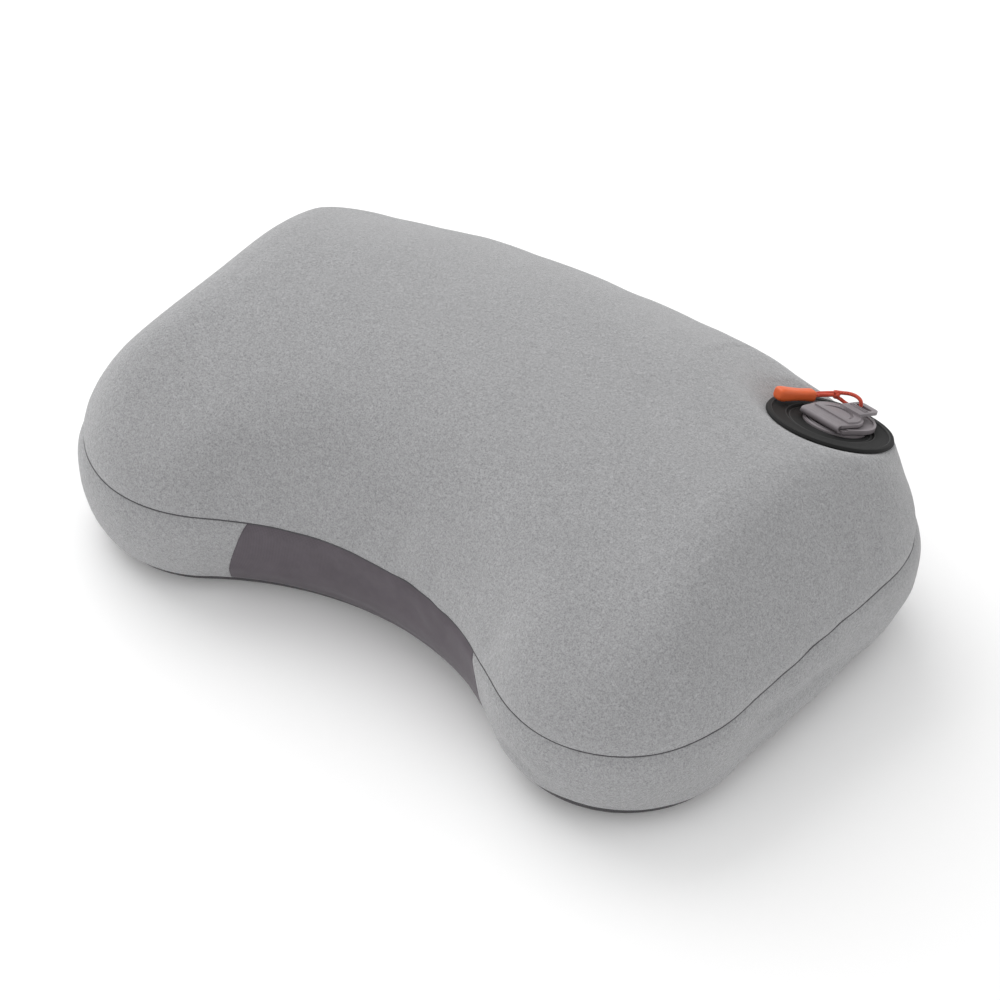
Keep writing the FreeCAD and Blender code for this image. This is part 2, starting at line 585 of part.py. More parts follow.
def eight_sided(diameter, at, way):
    """A cord's plain section: eight sides round the same area as the round cord."""
    radius = diameter / 2 * math.sqrt(math.pi / (2 * math.sqrt(2)))
    corners = [V(radius * math.cos(i * math.pi / 4), radius * math.sin(i * math.pi / 4), 0) for i in range(9)]
    wire = Part.makePolygon(corners)
    wire.Placement = FreeCAD.Placement(at, FreeCAD.Rotation(V(0, 0, 1), way))
    return wire


def tube(points, diameter):
    """A cord: straight runs joined by arcs as large as the runs allow. Returns the solid and its radii."""
    edges, radii = [], []
    start = points[0]
    for a, b, c in zip(points, points[1:], points[2:]):
        back, on = unit(a - b), unit(c - b)
        turn = math.pi - back.getAngle(on)
        reach = 0.45 * min((a - b).Length, (c - b).Length)
        radii.append(reach / math.tan(turn / 2))
        p, q = b + back * reach, b + on * reach
        bend = unit(back + on)
        centre = b + bend * (radii[-1] / math.cos(turn / 2))
        edges.append(Part.makeLine(start, p))
        edges.append(Part.Arc(p, centre - bend * radii[-1], q).toShape())
        start = q
    edges.append(Part.makeLine(start, points[-1]))
    path = Part.Wire(edges)
    section = eight_sided(diameter, points[0], points[1] - points[0])
    solid = path.makePipeShell([section], True, False)
    length = sum(e.Length for e in edges)
    print("cord %.1f mm long, radii %s, volume over section times length %.3f"
          % (length, [round(r, 1) for r in radii], solid.Volume / (Part.Face(section).Area * length)))
    return solid


def pull_grip():
    """The moulded grip: waisted, flared to a round end."""
    way = GRIP_END - GRIP_MOUTH
    body_points = [(0, 0), (GRIP_MOUTH_RADIUS - 0.5, 0), (GRIP_MOUTH_RADIUS, 0.6),
                   (GRIP_MOUTH_RADIUS, GRIP_LENGTH * 0.2), (GRIP_WAIST_RADIUS, GRIP_LENGTH * 0.5),
                   (GRIP_END_RADIUS, GRIP_LENGTH * 0.82), (GRIP_END_RADIUS, GRIP_LENGTH - 1.5),
                   (GRIP_END_RADIUS - 1.5, GRIP_LENGTH), (0, GRIP_LENGTH)]
    grip = turned(body_points)
    grip.Placement = FreeCAD.Placement(GRIP_MOUTH, FreeCAD.Rotation(V(0, 0, 1), way))
    return grip


def knot_form(r):
    """The knot, as a plain rounded lump."""
    knot = turned([(0, -r), (0.6 * r, -r), (r, -0.5 * r), (r, 0.5 * r), (0.6 * r, r), (0, r)])
    knot.translate(KNOT)
    return knot


def valve():
    """Every piece of the valve and its pull, in the valve's frame."""
    grip = pull_grip()
    strands = [tube(list(points), CORD) for points in STRANDS]
    knot = knot_form(KNOT_RADIUS)
    loop = tube(list(LOOP), CORD)
    grip_cord = strands[0].fuse(strands[1]).cut(grip).cut(knot_form(KNOT_RADIUS + KNOT_GAP))
    return {"valve_surround": valve_surround(), "valve_seat": seat(), "weld_flange": weld_flange(),
            "flap_strap": flap_strap(), "deflate_flap": deflate_flap(), "check_membrane": check_membrane(),
            "cap_strap": cap_strap(), "inflate_cap": inflate_cap(), "loop_cord": loop,
            "cord_knot": knot.cut(loop), "grip_cord": grip_cord, "pull_grip": grip}


def build():
    nodes = shell_panels()
    nodes.update(bladder())
    nodes.update({name: placed(shape) for name, shape in valve().items()})
    return nodes


def export(nodes):
    os.makedirs("parts", exist_ok=True)
    for name, shape in nodes.items():
        shape.exportStep("parts/%s.step" % name)
        box = shape.BoundBox
        print("%-18s %d solid(s) valid %s volume %.0f  x %.1f..%.1f y %.1f..%.1f z %.2f..%.2f"
              % (name, len(shape.Solids), shape.isValid(), shape.Volume, box.XMin, box.XMax, box.YMin,
                 box.YMax, box.ZMin, box.ZMax))


if __name__ == "__main__":
    export(build())
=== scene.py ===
"""Camp pillow: fabric shell, seams, flap valve and pull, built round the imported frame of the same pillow."""

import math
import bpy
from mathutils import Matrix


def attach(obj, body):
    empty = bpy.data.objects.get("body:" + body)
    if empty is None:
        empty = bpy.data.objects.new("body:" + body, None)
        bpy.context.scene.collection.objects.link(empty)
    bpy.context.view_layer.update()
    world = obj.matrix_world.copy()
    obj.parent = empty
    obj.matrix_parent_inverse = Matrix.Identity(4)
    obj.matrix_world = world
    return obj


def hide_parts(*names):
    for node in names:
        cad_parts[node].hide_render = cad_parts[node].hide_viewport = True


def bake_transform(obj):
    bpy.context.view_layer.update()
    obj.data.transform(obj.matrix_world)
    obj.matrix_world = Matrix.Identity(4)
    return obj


bl_info = {
    "name": "Camp Pillow",
    "version": (1, 0, 0),
    "blender": (4, 5, 0),
    "location": "View3D > Sidebar > Pillow",
    "description": "Builds an inflatable kidney-shaped camp pillow with a two-stage flap valve",
    "category": "Add Mesh",
}

import bmesh
import bpy
import numpy as np
from bpy.props import FloatProperty, FloatVectorProperty, PointerProperty
from mathutils import Matrix, Vector

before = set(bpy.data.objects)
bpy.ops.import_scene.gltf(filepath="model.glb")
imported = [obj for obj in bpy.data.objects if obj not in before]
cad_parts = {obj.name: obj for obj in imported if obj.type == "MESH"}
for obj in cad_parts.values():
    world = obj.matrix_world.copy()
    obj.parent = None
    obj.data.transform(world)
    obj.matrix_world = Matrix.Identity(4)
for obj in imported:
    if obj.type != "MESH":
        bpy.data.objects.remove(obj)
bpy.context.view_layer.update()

MM = 0.001

# The valve's own frame: x across the flaps, y from the fold to the tab, z out of the pillow.
VALVE_PLACE = Vector((0.1430, 0.087377, 0.1056))
VALVE_TURN = Matrix(((0.987688, 0.156434, 0.0), (-0.142327, 0.898620, 0.415), (0.06492, -0.409891, 0.909821)))

# The cord's route through the tab, and its two ends into the grip, in the valve's frame, in millimetres.
LOOP = ((-15.7, 18.5, 8.5), (-13.0, 19.9, 9.1), (-9.2, 21.4, 10.4), (-4.8, 22.5, 10.6), (-1.3, 22.6, 9.2),
        (-1.3, 22.6, 4.35), (-6.2, 22.3, 4.35), (-10.4, 21.1, 4.9), (-13.4, 19.7, 6.2), (-15.7, 18.5, 6.2))
STRANDS = (((-15.9, 18.0, 6.8), (-19.6, 13.6, 5.4), (-21.3, 9.6, 4.6), (-21.9, 6.0, 4.4)),
           ((-16.4, 19.0, 7.6), (-21.0, 15.4, 5.8), (-23.0, 9.8, 4.6), (-23.4, 6.0, 4.4)))
KNOT = (-15.0, 19.0, 7.4)
GRIP_MOUTH = (-22.4, 10.0, 4.4)
GRIP_END = (-27.0, -13.6, 5.0)


def local(x, y, z):
    """A point of the valve's frame, given in millimetres, as a point of the pillow."""
    return VALVE_PLACE + VALVE_TURN @ Vector((x, y, z)) * MM


def sizes():
    return bpy.context.scene.camp_pillow


# ---------------------------------------------------------------- shader maths

class Value:
    """A shader socket that takes part in Python sums."""

    def __init__(self, shader, socket):
        self.shader = shader
        self.socket = socket

    def _sum(self, operation, *others):
        return self.shader.node("ShaderNodeMath", (self,) + others, operation=operation)

    def __add__(self, other):
        return self._sum("ADD", other)

    __radd__ = __add__

    def __mul__(self, other):
        return self._sum("MULTIPLY", other)


class Shader:
    """A material's nodes, added a line at a time."""

    def __init__(self, name, colour, roughness, **fixed):
        self.material = bpy.data.materials.new(name)
        self.material.use_nodes = True
        self.material.diffuse_color = (*colour, 1.0)
        self.tree = self.material.node_tree
        self.out = self.tree.nodes["Principled BSDF"]
        self.set("Base Color", colour)
        self.set("Roughness", roughness)
        for key, value in fixed.items():
            self.set(key.replace("_", " ").title().replace("Ior", "IOR"), value)
        self.place = self.node("ShaderNodeTexCoord", output="Object")

    def node(self, kind, values=(), output=0, stops=None, **settings):
        """Any node: its settings first, then the values or links of its sockets, by place or by name."""
        made = self.tree.nodes.new(kind)
        for key, value in settings.items():
            setattr(made, key, value)
        if stops:
            ramp = made.color_ramp
            while len(ramp.elements) < len(stops):
                ramp.elements.new(0.5)
            for element, (at, tone) in zip(ramp.elements, stops):
                element.position = at
                element.color = (*tone, 1.0) if hasattr(tone, "__len__") else (tone, tone, tone, 1.0)
        pairs = values.items() if isinstance(values, dict) else enumerate(values)
        for key, value in pairs:
            self._feed(made.inputs[key], value)
        return Value(self, made.outputs[output])

    def _feed(self, socket, value):
        if isinstance(value, Value):
            self.tree.links.new(value.socket, socket)
        elif hasattr(value, "__len__") and len(value) == 3 and socket.type == "RGBA":
            socket.default_value = (*value, 1.0)
        else:
            socket.default_value = value

    def set(self, name, value):
        self._feed(self.out.inputs[name], value)

    def noise(self, scale, detail=2.0, roughness=0.5, place=None):
        """Cloudy values round a half, at so many to the metre."""
        return self.node("ShaderNodeTexNoise", {"Vector": place or self.place, "Scale": scale,
                                                "Detail": detail, "Roughness": roughness})

    def ramp(self, value, *stops):
        return self.node("ShaderNodeValToRGB", (value,), stops=stops)

    def mix(self, share, first, second, blend="MIX"):
        """A colour between two colours."""
        return self.node("ShaderNodeMix", {0: share, 6: first, 7: second}, 2, data_type="RGBA",
                         blend_type=blend)

    def turned(self, angles, stretch=(1.0, 1.0, 1.0)):
        """The piece's own coordinates, turned and stretched."""
        return self.node("ShaderNodeMapping", {"Vector": self.place, "Rotation": angles, "Scale": stretch})

    def from_axis(self, centre, axis):
        """How far each point lies from an axis, in metres."""
        arm = self.node("ShaderNodeVectorMath", (self.place, centre), operation="SUBTRACT")
        across = self.node("ShaderNodeVectorMath", (arm, axis), operation="CROSS_PRODUCT")
        return self.node("ShaderNodeVectorMath", (across,), "Value", operation="LENGTH")

    def wave(self, scale, direction, place=None):
        """Even bands, at so many to the metre."""
        return self.node("ShaderNodeTexWave", {"Vector": place or self.place, "Scale": scale, "Detail": 1.0},
                         "Fac", wave_type="BANDS", bands_direction=direction)

    def bump(self, height, strength, depth):
        """Relief from a height, depth being how far it stands out, in metres."""
        relief = {"Strength": strength, "Distance": depth, "Height": height}
        normal = self.node("ShaderNodeBump", relief, "Normal")
        self.set("Normal", normal)
        return self.material


def fleece():
    """Short brushed nap: a speckle of pile tips, soft clouds where the pile leans, and a sheen."""
    tone = sizes().fleece_colour
    s = Shader("Brushed fleece", tone, 0.95, sheen_weight=0.5, sheen_roughness=0.4, specular_ior_level=0.12)
    tips = s.noise(1250.0, 3.0, 0.75)
    tufts = s.noise(520.0, 2.0, 0.6)
    lean = s.noise(38.0, 4.0, 0.55)
    clouds = s.noise(7.0, 2.0, 0.5)
    speck = s.ramp(tips, (0.30, 0.66), (0.50, 0.99), (0.72, 1.30))
    tuft = s.ramp(tufts, (0.30, 0.90), (0.70, 1.09))
    nap = s.ramp(lean, (0.32, 0.985), (0.68, 1.015))
    cloud = s.ramp(clouds, (0.35, 0.99), (0.65, 1.01))
    colour = s.mix(1.0, tone, speck, "MULTIPLY")
    for layer in (tuft, nap, cloud):
        colour = s.mix(1.0, colour, layer, "MULTIPLY")
    s.set("Base Color", colour)
    return s.bump(tips * 0.7 + tufts * 0.8 + lean * 0.5, 0.7, 0.0013)


def woven(name, tone, pitch, depth):
    """Plain woven cloth: warp and weft at a fine pitch, with slight slubs."""
    s = Shader(name, tone, 0.62, sheen_weight=0.12, sheen_roughness=0.4, specular_ior_level=0.35)
    wander = s.noise(60.0, 2.0)
    warp = s.wave(pitch, "X")
    weft = s.wave(pitch, "Z")
    slub = s.noise(260.0, 2.0)
    weave = warp * 0.5 + weft * 0.5
    shade = s.ramp(weave * 0.6 + slub * 0.4, (0.25, 0.80), (0.75, 1.16))
    soft = s.ramp(wander, (0.3, 0.93), (0.7, 1.07))
    colour = s.mix(1.0, s.mix(1.0, tone, shade, "MULTIPLY"), soft, "MULTIPLY")
    s.set("Base Color", colour)
    s.set("Roughness", 0.55 + wander * 0.16)
    return s.bump(weave + slub * 0.5, 0.4, depth)


def moulded(name, tone, roughness, grain, wear=0.08, **fixed):
    """Soft moulded plastic: a fine mould grain, faint cloudiness and scuffed high spots."""
    s = Shader(name, tone, roughness, **fixed)
    fine = s.noise(grain, 2.0, 0.6)
    cloud = s.noise(120.0, 3.0)
    dust = s.noise(700.0, 4.0, 0.7)
    shade = s.ramp(cloud, (0.3, 1.0 - wear), (0.7, 1.0 + wear))
    marks = s.ramp(dust, (0.55, 0.0), (0.80, 0.10))
    pale = tuple(min(1.0, c * 1.8 + 0.02) for c in tone)
    s.set("Base Color", s.mix(marks, s.mix(1.0, tone, shade, "MULTIPLY"), pale))
    s.set("Roughness", (roughness - 0.06) + cloud * 0.12)
    return s.bump(fine + dust * 0.3, 0.25, 0.00012)


def ringed(name, tone):
    """Soft black plastic, with a welded rim line and fine turned ridges; a painted highlight lightens the tops
    of both to grey.
    """
    s = Shader(name, tone, 0.72, specular_ior_level=0.2)
    out = s.from_axis(tuple(VALVE_PLACE), tuple(VALVE_TURN.col[2])) * (1.0 / 0.035)
    # The rim line and the ridges, by their distance from the valve's axis: this mask gives their relief and
    # also places their painted highlight.
    lines = s.ramp(out, (0.0, 0.0), (0.585, 0.0), (0.60, 1.0), (0.615, 0.0), (0.645, 0.0), (0.66, 0.8),
                   (0.675, 0.0), (0.865, 0.0), (0.88, 1.0), (0.895, 0.0))
    grain = s.noise(1800.0, 2.0, 0.6)
    cloud = s.noise(120.0, 3.0)
    shade = s.ramp(cloud, (0.3, 0.88), (0.7, 1.12))
    # Painted highlight: a pale grey laid along the rim line and ridge tops, standing for the light that the
    # ridges catch.
    ridge_highlight = tuple(c * 3.5 + 0.01 for c in tone)
    s.set("Base Color", s.mix(lines * 0.8, s.mix(1.0, tone, shade, "MULTIPLY"), ridge_highlight))
    s.set("Roughness", 0.66 + cloud * 0.12)
    return s.bump(grain * 0.15 + lines, 0.5, 0.0004)


def braided(name, tone):
    """Fine braid along a cord, from two crossing sets of slanted strands."""
    s = Shader(name, tone, 0.6, sheen_weight=0.15, specular_ior_level=0.4)
    one = s.wave(520.0, "DIAGONAL")
    two = s.wave(520.0, "DIAGONAL", s.turned((0.0, 0.0, 1.571)))
    fibre = s.noise(2400.0, 2.0)
    braid = s.node("ShaderNodeMath", (one, two), operation="MAXIMUM")
    shade = s.ramp(braid * 0.7 + fibre * 0.3, (0.2, 0.55), (0.8, 1.15))
    s.set("Base Color", s.mix(1.0, tone, shade, "MULTIPLY"))
    return s.bump(braid + fibre * 0.4, 0.6, 0.00025)


def coated(name, tone, roughness):
    """Coated film: a faint cross-hatch of the cloth under its coating."""
    s = Shader(name, tone, roughness, specular_ior_level=0.5)
    hatch = s.wave(700.0, "X") * 0.5 + s.wave(700.0, "Y") * 0.5
    cloud = s.noise(25.0, 3.0)
    shade = s.ramp(hatch * 0.4 + cloud * 0.6, (0.3, 0.90), (0.7, 1.08))
    s.set("Base Color", s.mix(1.0, tone, shade, "MULTIPLY"))
    return s.bump(hatch + cloud, 0.2, 0.0001)


FINISHES = {}


def finish_of(name):
    """Each finish is made once."""
    if name not in FINISHES:
        tones = sizes()
        makers = {
            "fleece": fleece,
            "panel": lambda: woven("Neck panel weave", tones.panel_colour, 420.0, 0.00018),
            "base": lambda: woven("Base weave", tones.base_colour, 300.0, 0.0003),
            "binding": lambda: woven("Seam binding", tones.binding_colour, 500.0, 0.0002),
            "disc": lambda: ringed("Soft black disc", tones.disc_colour),
            "flap": lambda: moulded("Grey soft valve", tones.valve_colour, 0.46, 1600.0, 0.05),
            "membrane": lambda: moulded("Check membrane", (0.62, 0.60, 0.58), 0.35, 1500.0),
            "grip": lambda: moulded("Orange grip", tones.grip_colour, 0.50, 1500.0, 0.05),
            "cord": lambda: braided("Orange cord", tones.cord_colour),
            "film": lambda: coated("Bladder film", (0.42, 0.40, 0.36), 0.4),
            "baffle": lambda: coated("Baffle film", (0.55, 0.53, 0.50), 0.45),
        }
        FINISHES[name] = makers[name]()
    return FINISHES[name]


# ---------------------------------------------------------------- modelling helpers

def deselect():
    if bpy.context.mode != "OBJECT":
        bpy.ops.object.mode_set(mode="OBJECT")
    bpy.ops.object.select_all(action="DESELECT")


def only(obj):
    """Makes this the one selected, active object."""
    deselect()
    obj.select_set(True)
    bpy.context.view_layer.objects.active = obj
    return obj


def named(obj, name):
    obj.name = name
    obj.data.name = name
    return obj


def coordinates(obj):
    co = np.empty(len(obj.data.vertices) * 3)
    obj.data.vertices.foreach_get("co", co)
    return co.reshape(-1, 3)


def move_to(obj, co):
    obj.data.vertices.foreach_set("co", np.ascontiguousarray(co, float).ravel())
    obj.data.update()


def normals(obj):
    n = np.empty(len(obj.data.vertices) * 3)
    obj.data.vertex_normals.foreach_get("vector", n)
    return n.reshape(-1, 3)


def duplicate(obj, name):
    return named(only(added(name, obj.data.copy())), name)


def apply_modifiers(obj):
    only(obj)
    for modifier in list(obj.modifiers):
        bpy.ops.object.modifier_apply(modifier=modifier.name)


def edited(obj, *steps):
    """Runs mesh steps over the whole of a piece, each a name and its settings."""
    only(obj)
    bpy.ops.object.mode_set(mode="EDIT")
    for action, settings in steps:
        bpy.ops.mesh.select_all(action="SELECT")
        getattr(bpy.ops.mesh, action)(**settings)
    bpy.ops.object.mode_set(mode="OBJECT")
    return obj


FACE_OUT = ("normals_make_consistent", {"inside": False})


def added(name, data):
    """Puts new mesh or curve data into the scene."""
    obj = bpy.data.objects.new(name, data)
    bpy.context.collection.objects.link(obj)
    return obj


def painted(obj, finish):
    obj.data.materials.clear()
    obj.data.materials.append(finish_of(finish))
    return obj


def finished(obj, finish, slot, body, *nodes):
    """Paints a piece, puts it on its body and hides the nodes it stands for."""
    painted(obj, finish)
    if body:
        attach(obj, body)
    if nodes:
        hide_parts(*nodes)
    return obj


def smooth(obj, angle=None):
    only(obj)
    if angle is None:
        bpy.ops.object.shade_smooth()
    else:
        bpy.ops.object.shade_smooth_by_angle(angle=math.radians(angle))


def step(low, high, value):
    """0 before low, 1 after high, smooth between."""
    t = np.clip((value - low) / (high - low), 0.0, 1.0)
    return t * t * (3 - 2 * t)


def soft_min(a, b, blend):
    near = np.maximum(blend - np.abs(a - b), 0.0) / blend
    return np.minimum(a, b) - near * near * blend / 4


def in_valve(co):
    """Points in the valve's frame, in metres."""
    return (co - np.array(VALVE_PLACE)) @ np.array(VALVE_TURN)


def out_of_valve(co):
    return co @ np.array(VALVE_TURN).T + np.array(VALVE_PLACE)


# ---------------------------------------------------------------- the shell's form

def arc_points(centre, radius, start, end, count):
    """Points along the short arc, without its last one. start and end are the ways out from the centre."""
    first = math.atan2(start[1], start[0])
    sweep = (math.atan2(end[1], end[0]) - first + math.pi) % (2 * math.pi) - math.pi
    turn = first + sweep * np.arange(count) / count
    return np.stack((centre[0] + radius * np.cos(turn), centre[1] + radius * np.sin(turn)), axis=1)


class Plan:
    """The pillow's plan: a long back, two round back corners, slack ends, two lobes and the neck."""

    def __init__(self):
        p = sizes()
        self.lobe = p.lobe_radius
        self.corner = p.corner_radius
        self.back = p.back_radius
        self.end = p.end_radius
        self.depth = p.depth
        self.neck_depth = p.neck_depth
        self.back_centre = np.array((0.0, p.depth / 2 - self.back))
        reach = math.sqrt((self.back - self.corner) ** 2 - p.corner_x ** 2)
        self.corner_centre = np.array((p.corner_x, self.back_centre[1] + reach))
        self.lobe_centre = np.array((p.width / 2 - self.lobe, -p.depth / 2 + self.lobe))
        self.end_centre = self.centre_between(self.lobe_centre, self.end - self.lobe,
                                              self.corner_centre, self.end - self.corner)

    @staticmethod
    def centre_between(a, ra, b, rb):
        way = b - a
        length = np.linalg.norm(way)
        along = (length ** 2 + ra ** 2 - rb ** 2) / (2 * length)
        off = math.sqrt(ra ** 2 - along ** 2)
        e = way / length
        return a + e * along + np.array((-e[1], e[0])) * off

    def ring(self, inset, undercut=0.0):
        """The outline moved in by inset, as points that match from ring to ring."""
        top = -self.depth / 2 + self.neck_depth + inset + undercut
        lobe = self.lobe - inset
        k = top - self.lobe_centre[1]
        neck_radius = (self.lobe_centre[0] ** 2 + k * k - lobe * lobe) / (2 * (lobe + k))
        neck = np.array((0.0, top - neck_radius))
        flip = np.array((-1.0, 1.0))
        to_back = self.corner_centre - self.back_centre
        to_upper = self.corner_centre - self.end_centre
        to_lower = self.lobe_centre - self.end_centre
        to_lip = self.lobe_centre - neck
        right = ((self.corner_centre, self.corner - inset, to_back, to_upper, 16),
                 (self.end_centre, self.end - inset, to_upper, to_lower, 22),
                 (self.lobe_centre, self.lobe - inset, to_lower, -to_lip, 26))
        rows = [arc_points(self.back_centre, self.back - inset, to_back * flip, to_back, 44)]
        rows += [arc_points(*piece) for piece in right]
        rows.append(arc_points(neck, neck_radius, to_lip, to_lip * flip, 40))
        for centre, radius, start, end, count in reversed(right):
            rows.append(arc_points(centre * flip, radius, end * flip, start * flip, count))
        return np.concatenate(rows)


def roll(full, share, curve):
    """Inset and rise, as shares of full size, along a rolled edge."""
    angle = share * math.pi / 2
    return full * (1 - math.cos(angle) ** (2 / curve)), math.sin(angle) ** (2 / curve)


def leaned(xy, z, lean):
    """A level ring as points that lean up to the back with height."""
    angle = lean * z
    return np.stack((xy[:, 0], xy[:, 1] * math.cos(angle), z + xy[:, 1] * math.sin(angle)), axis=1)


def crown_height(y):
    p = sizes()
    return p.crown - p.crown_radius + np.sqrt(p.crown_radius ** 2 - (y - p.crown_y) ** 2)


# How far the back edge stands up or hangs down along the pillow, and how far the ends swell, in millimetres.
BACK_X = (-205, -170, -150, -125, -100, -60, -30, 0, 50, 90, 120, 150, 205)
BACK_RISE = (-11, -13, -12.5, -8, -2.5, 2.5, 5.0, 7.0, 9.5, 11.0, 9.5, 6.0, 3)

# How far from a seam it draws the cloth up, and how far the puckers run, in metres.
SEAM_REACH = 0.008
PUCKER_REACH = 0.016

# The simulated cloth, and the rounds of smoothing that part its fine folds from its broad movement.
CLOTH = {"quality": 4, "mass": 0.25, "tension_stiffness": 18, "compression_stiffness": 12,
         "bending_stiffness": 0.4}
CLOTH_FRAMES = 20
FINE_ROUNDS, BROAD_ROUNDS, NORMAL_ROUNDS = 2, 70, 6


def slump(co):
    """The pillow isn't even: its back sags at the left corner, stands up by the valve, and its ends swell."""
    x, y, z = co[:, 0] / MM, co[:, 1] / MM, co[:, 2] / MM
    back = step(15.0, 108.0, y) * step(48.0, 92.0, z)
    co[:, 2] += np.interp(x, BACK_X, BACK_RISE) * back * MM
    co[:, 2] -= 2.5 * MM * step(110.0, 185.0, -x) * step(60.0, 95.0, z) * step(-70.0, 0.0, y)
    girth = step(20.0, 45.0, z) * (1 - step(85.0, 118.0, z))
    co[:, 0] += 4.8 * MM * girth * step(150.0, 200.0, x) * np.exp(-((y - 62.0) / 45.0) ** 2)
    co[:, 0] -= 1.8 * MM * girth * step(150.0, 200.0, -x) * np.exp(-((y + 55.0) / 50.0) ** 2)
    return co


def pillow_form():
    """The closed form of the whole pillow, before it is filled with air."""
    p = sizes()
    plan = Plan()
    rings = []
    for share in (1.0, 0.86, 0.7, 0.52, 0.34, 0.17):
        inset, drop = roll(p.foot_inset, share, p.foot_curve)
        ring = leaned(plan.ring(inset, p.neck_undercut * drop ** 3), p.girth_height * (1 - drop), p.lean)
        if share == 1.0:
            ring[:, 2] = 0.0
        rings.append(ring)
    for share in np.linspace(0.0, 0.92, 13):
        inset, rise = roll(p.top_inset, share, p.top_curve)
        ring = leaned(plan.ring(inset), p.girth_height + (p.edge_top - p.girth_height) * rise, p.lean)
        ring[:, 2] = soft_min(ring[:, 2], crown_height(ring[:, 1]), 0.012)
        rings.append(ring)
    last = rings[-1]
    bow = 0.012 + 0.22 * last[:, 0] ** 2
    spine = np.stack((np.clip(last[:, 0], -0.12, 0.12), bow, last[:, 2] * 0), axis=1)
    for share in (0.2, 0.4, 0.6, 0.8, 1.0):
        ring = last * (1 - share) + spine * share
        ring[:, 2] = crown_height(ring[:, 1])
        rings.append(ring)
    foot = rings[0]
    foot_spine = spine * (1.0, 1.0, 0.0)
    rings = [foot * (1 - share) + foot_spine * share for share in (1.0, 0.5)] + rings
    count = len(foot)
    mesh = bpy.data.meshes.new("pillow_form")
    faces = [(r * count + i, r * count + (i + 1) % count,
              (r + 1) * count + (i + 1) % count, (r + 1) * count + i)
             for r in range(len(rings) - 1) for i in range(count)]
    mesh.from_pydata(slump(np.concatenate(rings)).tolist(), [], [face[::-1] for face in faces])
    return edited(added("pillow_form", mesh), ("remove_doubles", {"threshold": 1e-5}), FACE_OUT)


def spread(obj, values, rounds):
    """Smooths a value over the neighbouring points, so many times."""
    ends = np.empty(len(obj.data.edges) * 2, int)
    obj.data.edges.foreach_get("vertices", ends)
    a, b = ends.reshape(-1, 2).T
    count, size = np.bincount(ends, minlength=len(values)), len(values)
    for _ in range(rounds):
        near = np.bincount(a, values[b], size) + np.bincount(b, values[a], size)
        values = (values + near / np.maximum(count, 1)) / 2
    return values


def inflate(form):
    """Fills the form with air by a cloth simulation, and keeps only the fine folds that it makes."""
    p = sizes()
    form.data.remesh_voxel_size = p.voxel
    only(form)
    bpy.ops.object.voxel_remesh()
    rest = coordinates(form)
    outward = normals(form)
    seam = form.vertex_groups.new(name="seam")
    height = rest[:, 2] - seam_height(rest)
    tight = np.exp(-(height / SEAM_REACH) ** 2)
    for index in np.flatnonzero(tight > 0.05):
        seam.add([int(index)], float(tight[index]), "REPLACE")
    cloth = form.modifiers.new("Air", "CLOTH")
    settings = cloth.settings
    for key, value in CLOTH.items():
        setattr(settings, key, value)
    settings.use_pressure = True
    settings.uniform_pressure_force = p.pressure
    settings.effector_weights.gravity = 0.0
    settings.vertex_group_shrink = "seam"
    settings.shrink_min = 0.0
    settings.shrink_max = p.seam_pull
    scene = bpy.context.scene
    for number in range(1, CLOTH_FRAMES + 1):
        scene.frame_set(number)
    shape = form.evaluated_get(bpy.context.evaluated_depsgraph_get())
    after = np.empty(len(shape.data.vertices) * 3)
    shape.data.vertices.foreach_get("co", after)
    form.modifiers.remove(cloth)
    scene.frame_set(1)
    out = ((after.reshape(-1, 3) - rest) * outward).sum(axis=1)
    fine = spread(form, out, FINE_ROUNDS) - spread(form, out, BROAD_ROUNDS)
    foot_off = rest[:, 2] - foot_height(rest)
    by_seam = np.maximum(np.exp(-(height / PUCKER_REACH) ** 2), np.exp(-(foot_off / PUCKER_REACH) ** 2))
    fine *= p.slack + (1 - p.slack) * by_seam
    fine = np.clip(fine, -p.sink, p.swell) * step(0.002, 0.02, rest[:, 2])
    move_to(form, rest + outward * fine[:, None])
    return form


def refined(form):
    """Rounds a piece to a finer mesh."""
    finer = form.modifiers.new("Smooth", "SUBSURF")
    finer.levels = finer.render_levels = 1
    apply_modifiers(form)
    return form


def seam_height(co):
    """Height of the seam under the top panel: it leans with the pillow, and dips at the right lobe."""
    p = sizes()
    dip = 0.0035 * np.exp(-(((co[:, 0] - 0.150) / 0.075) ** 2 + ((co[:, 1] + 0.115) / 0.06) ** 2))
    return p.seam_height + np.tan(p.lean * p.seam_height) * co[:, 1] - dip


# The disc's edge and underside, in metres, and how steeply the cloth may rise or fall away from it.
DISC_RADIUS = 0.0335
UNDER_DISC = -0.00135
DISH_SLOPE = 0.42
MOUND_START = 0.0340
MOUND_SLOPE = 1.5


def seat_of_valve(form):
    """Lays the cloth under the disc: a shallow dish, and fullness where the corner would fall away."""
    co = coordinates(form)
    v = in_valve(co)
    r = np.hypot(v[:, 0], v[:, 1])
    upper = (co[:, 2] > 0.05) & (r < 0.075)
    dish = UNDER_DISC + np.maximum(r - DISC_RADIUS, 0.0) * DISH_SLOPE
    blend = np.clip(0.0015 + (r - DISC_RADIUS) * 0.45, 0.0015, 0.012)
    cut = np.minimum(v[:, 2], soft_min(v[:, 2], dish, blend))
    z = np.where(upper & (v[:, 2] > -0.012), cut, v[:, 2])
    mound = UNDER_DISC - np.maximum(r - MOUND_START, 0.0) * MOUND_SLOPE
    share = step(0.064, 0.084, co[:, 2]) * (1 - step(0.040, 0.050, r))
    lift = np.where(upper & (z < mound), (mound - z) * share, 0.0)
    v[:, 2] = z + lift
    move_to(form, out_of_valve(v))


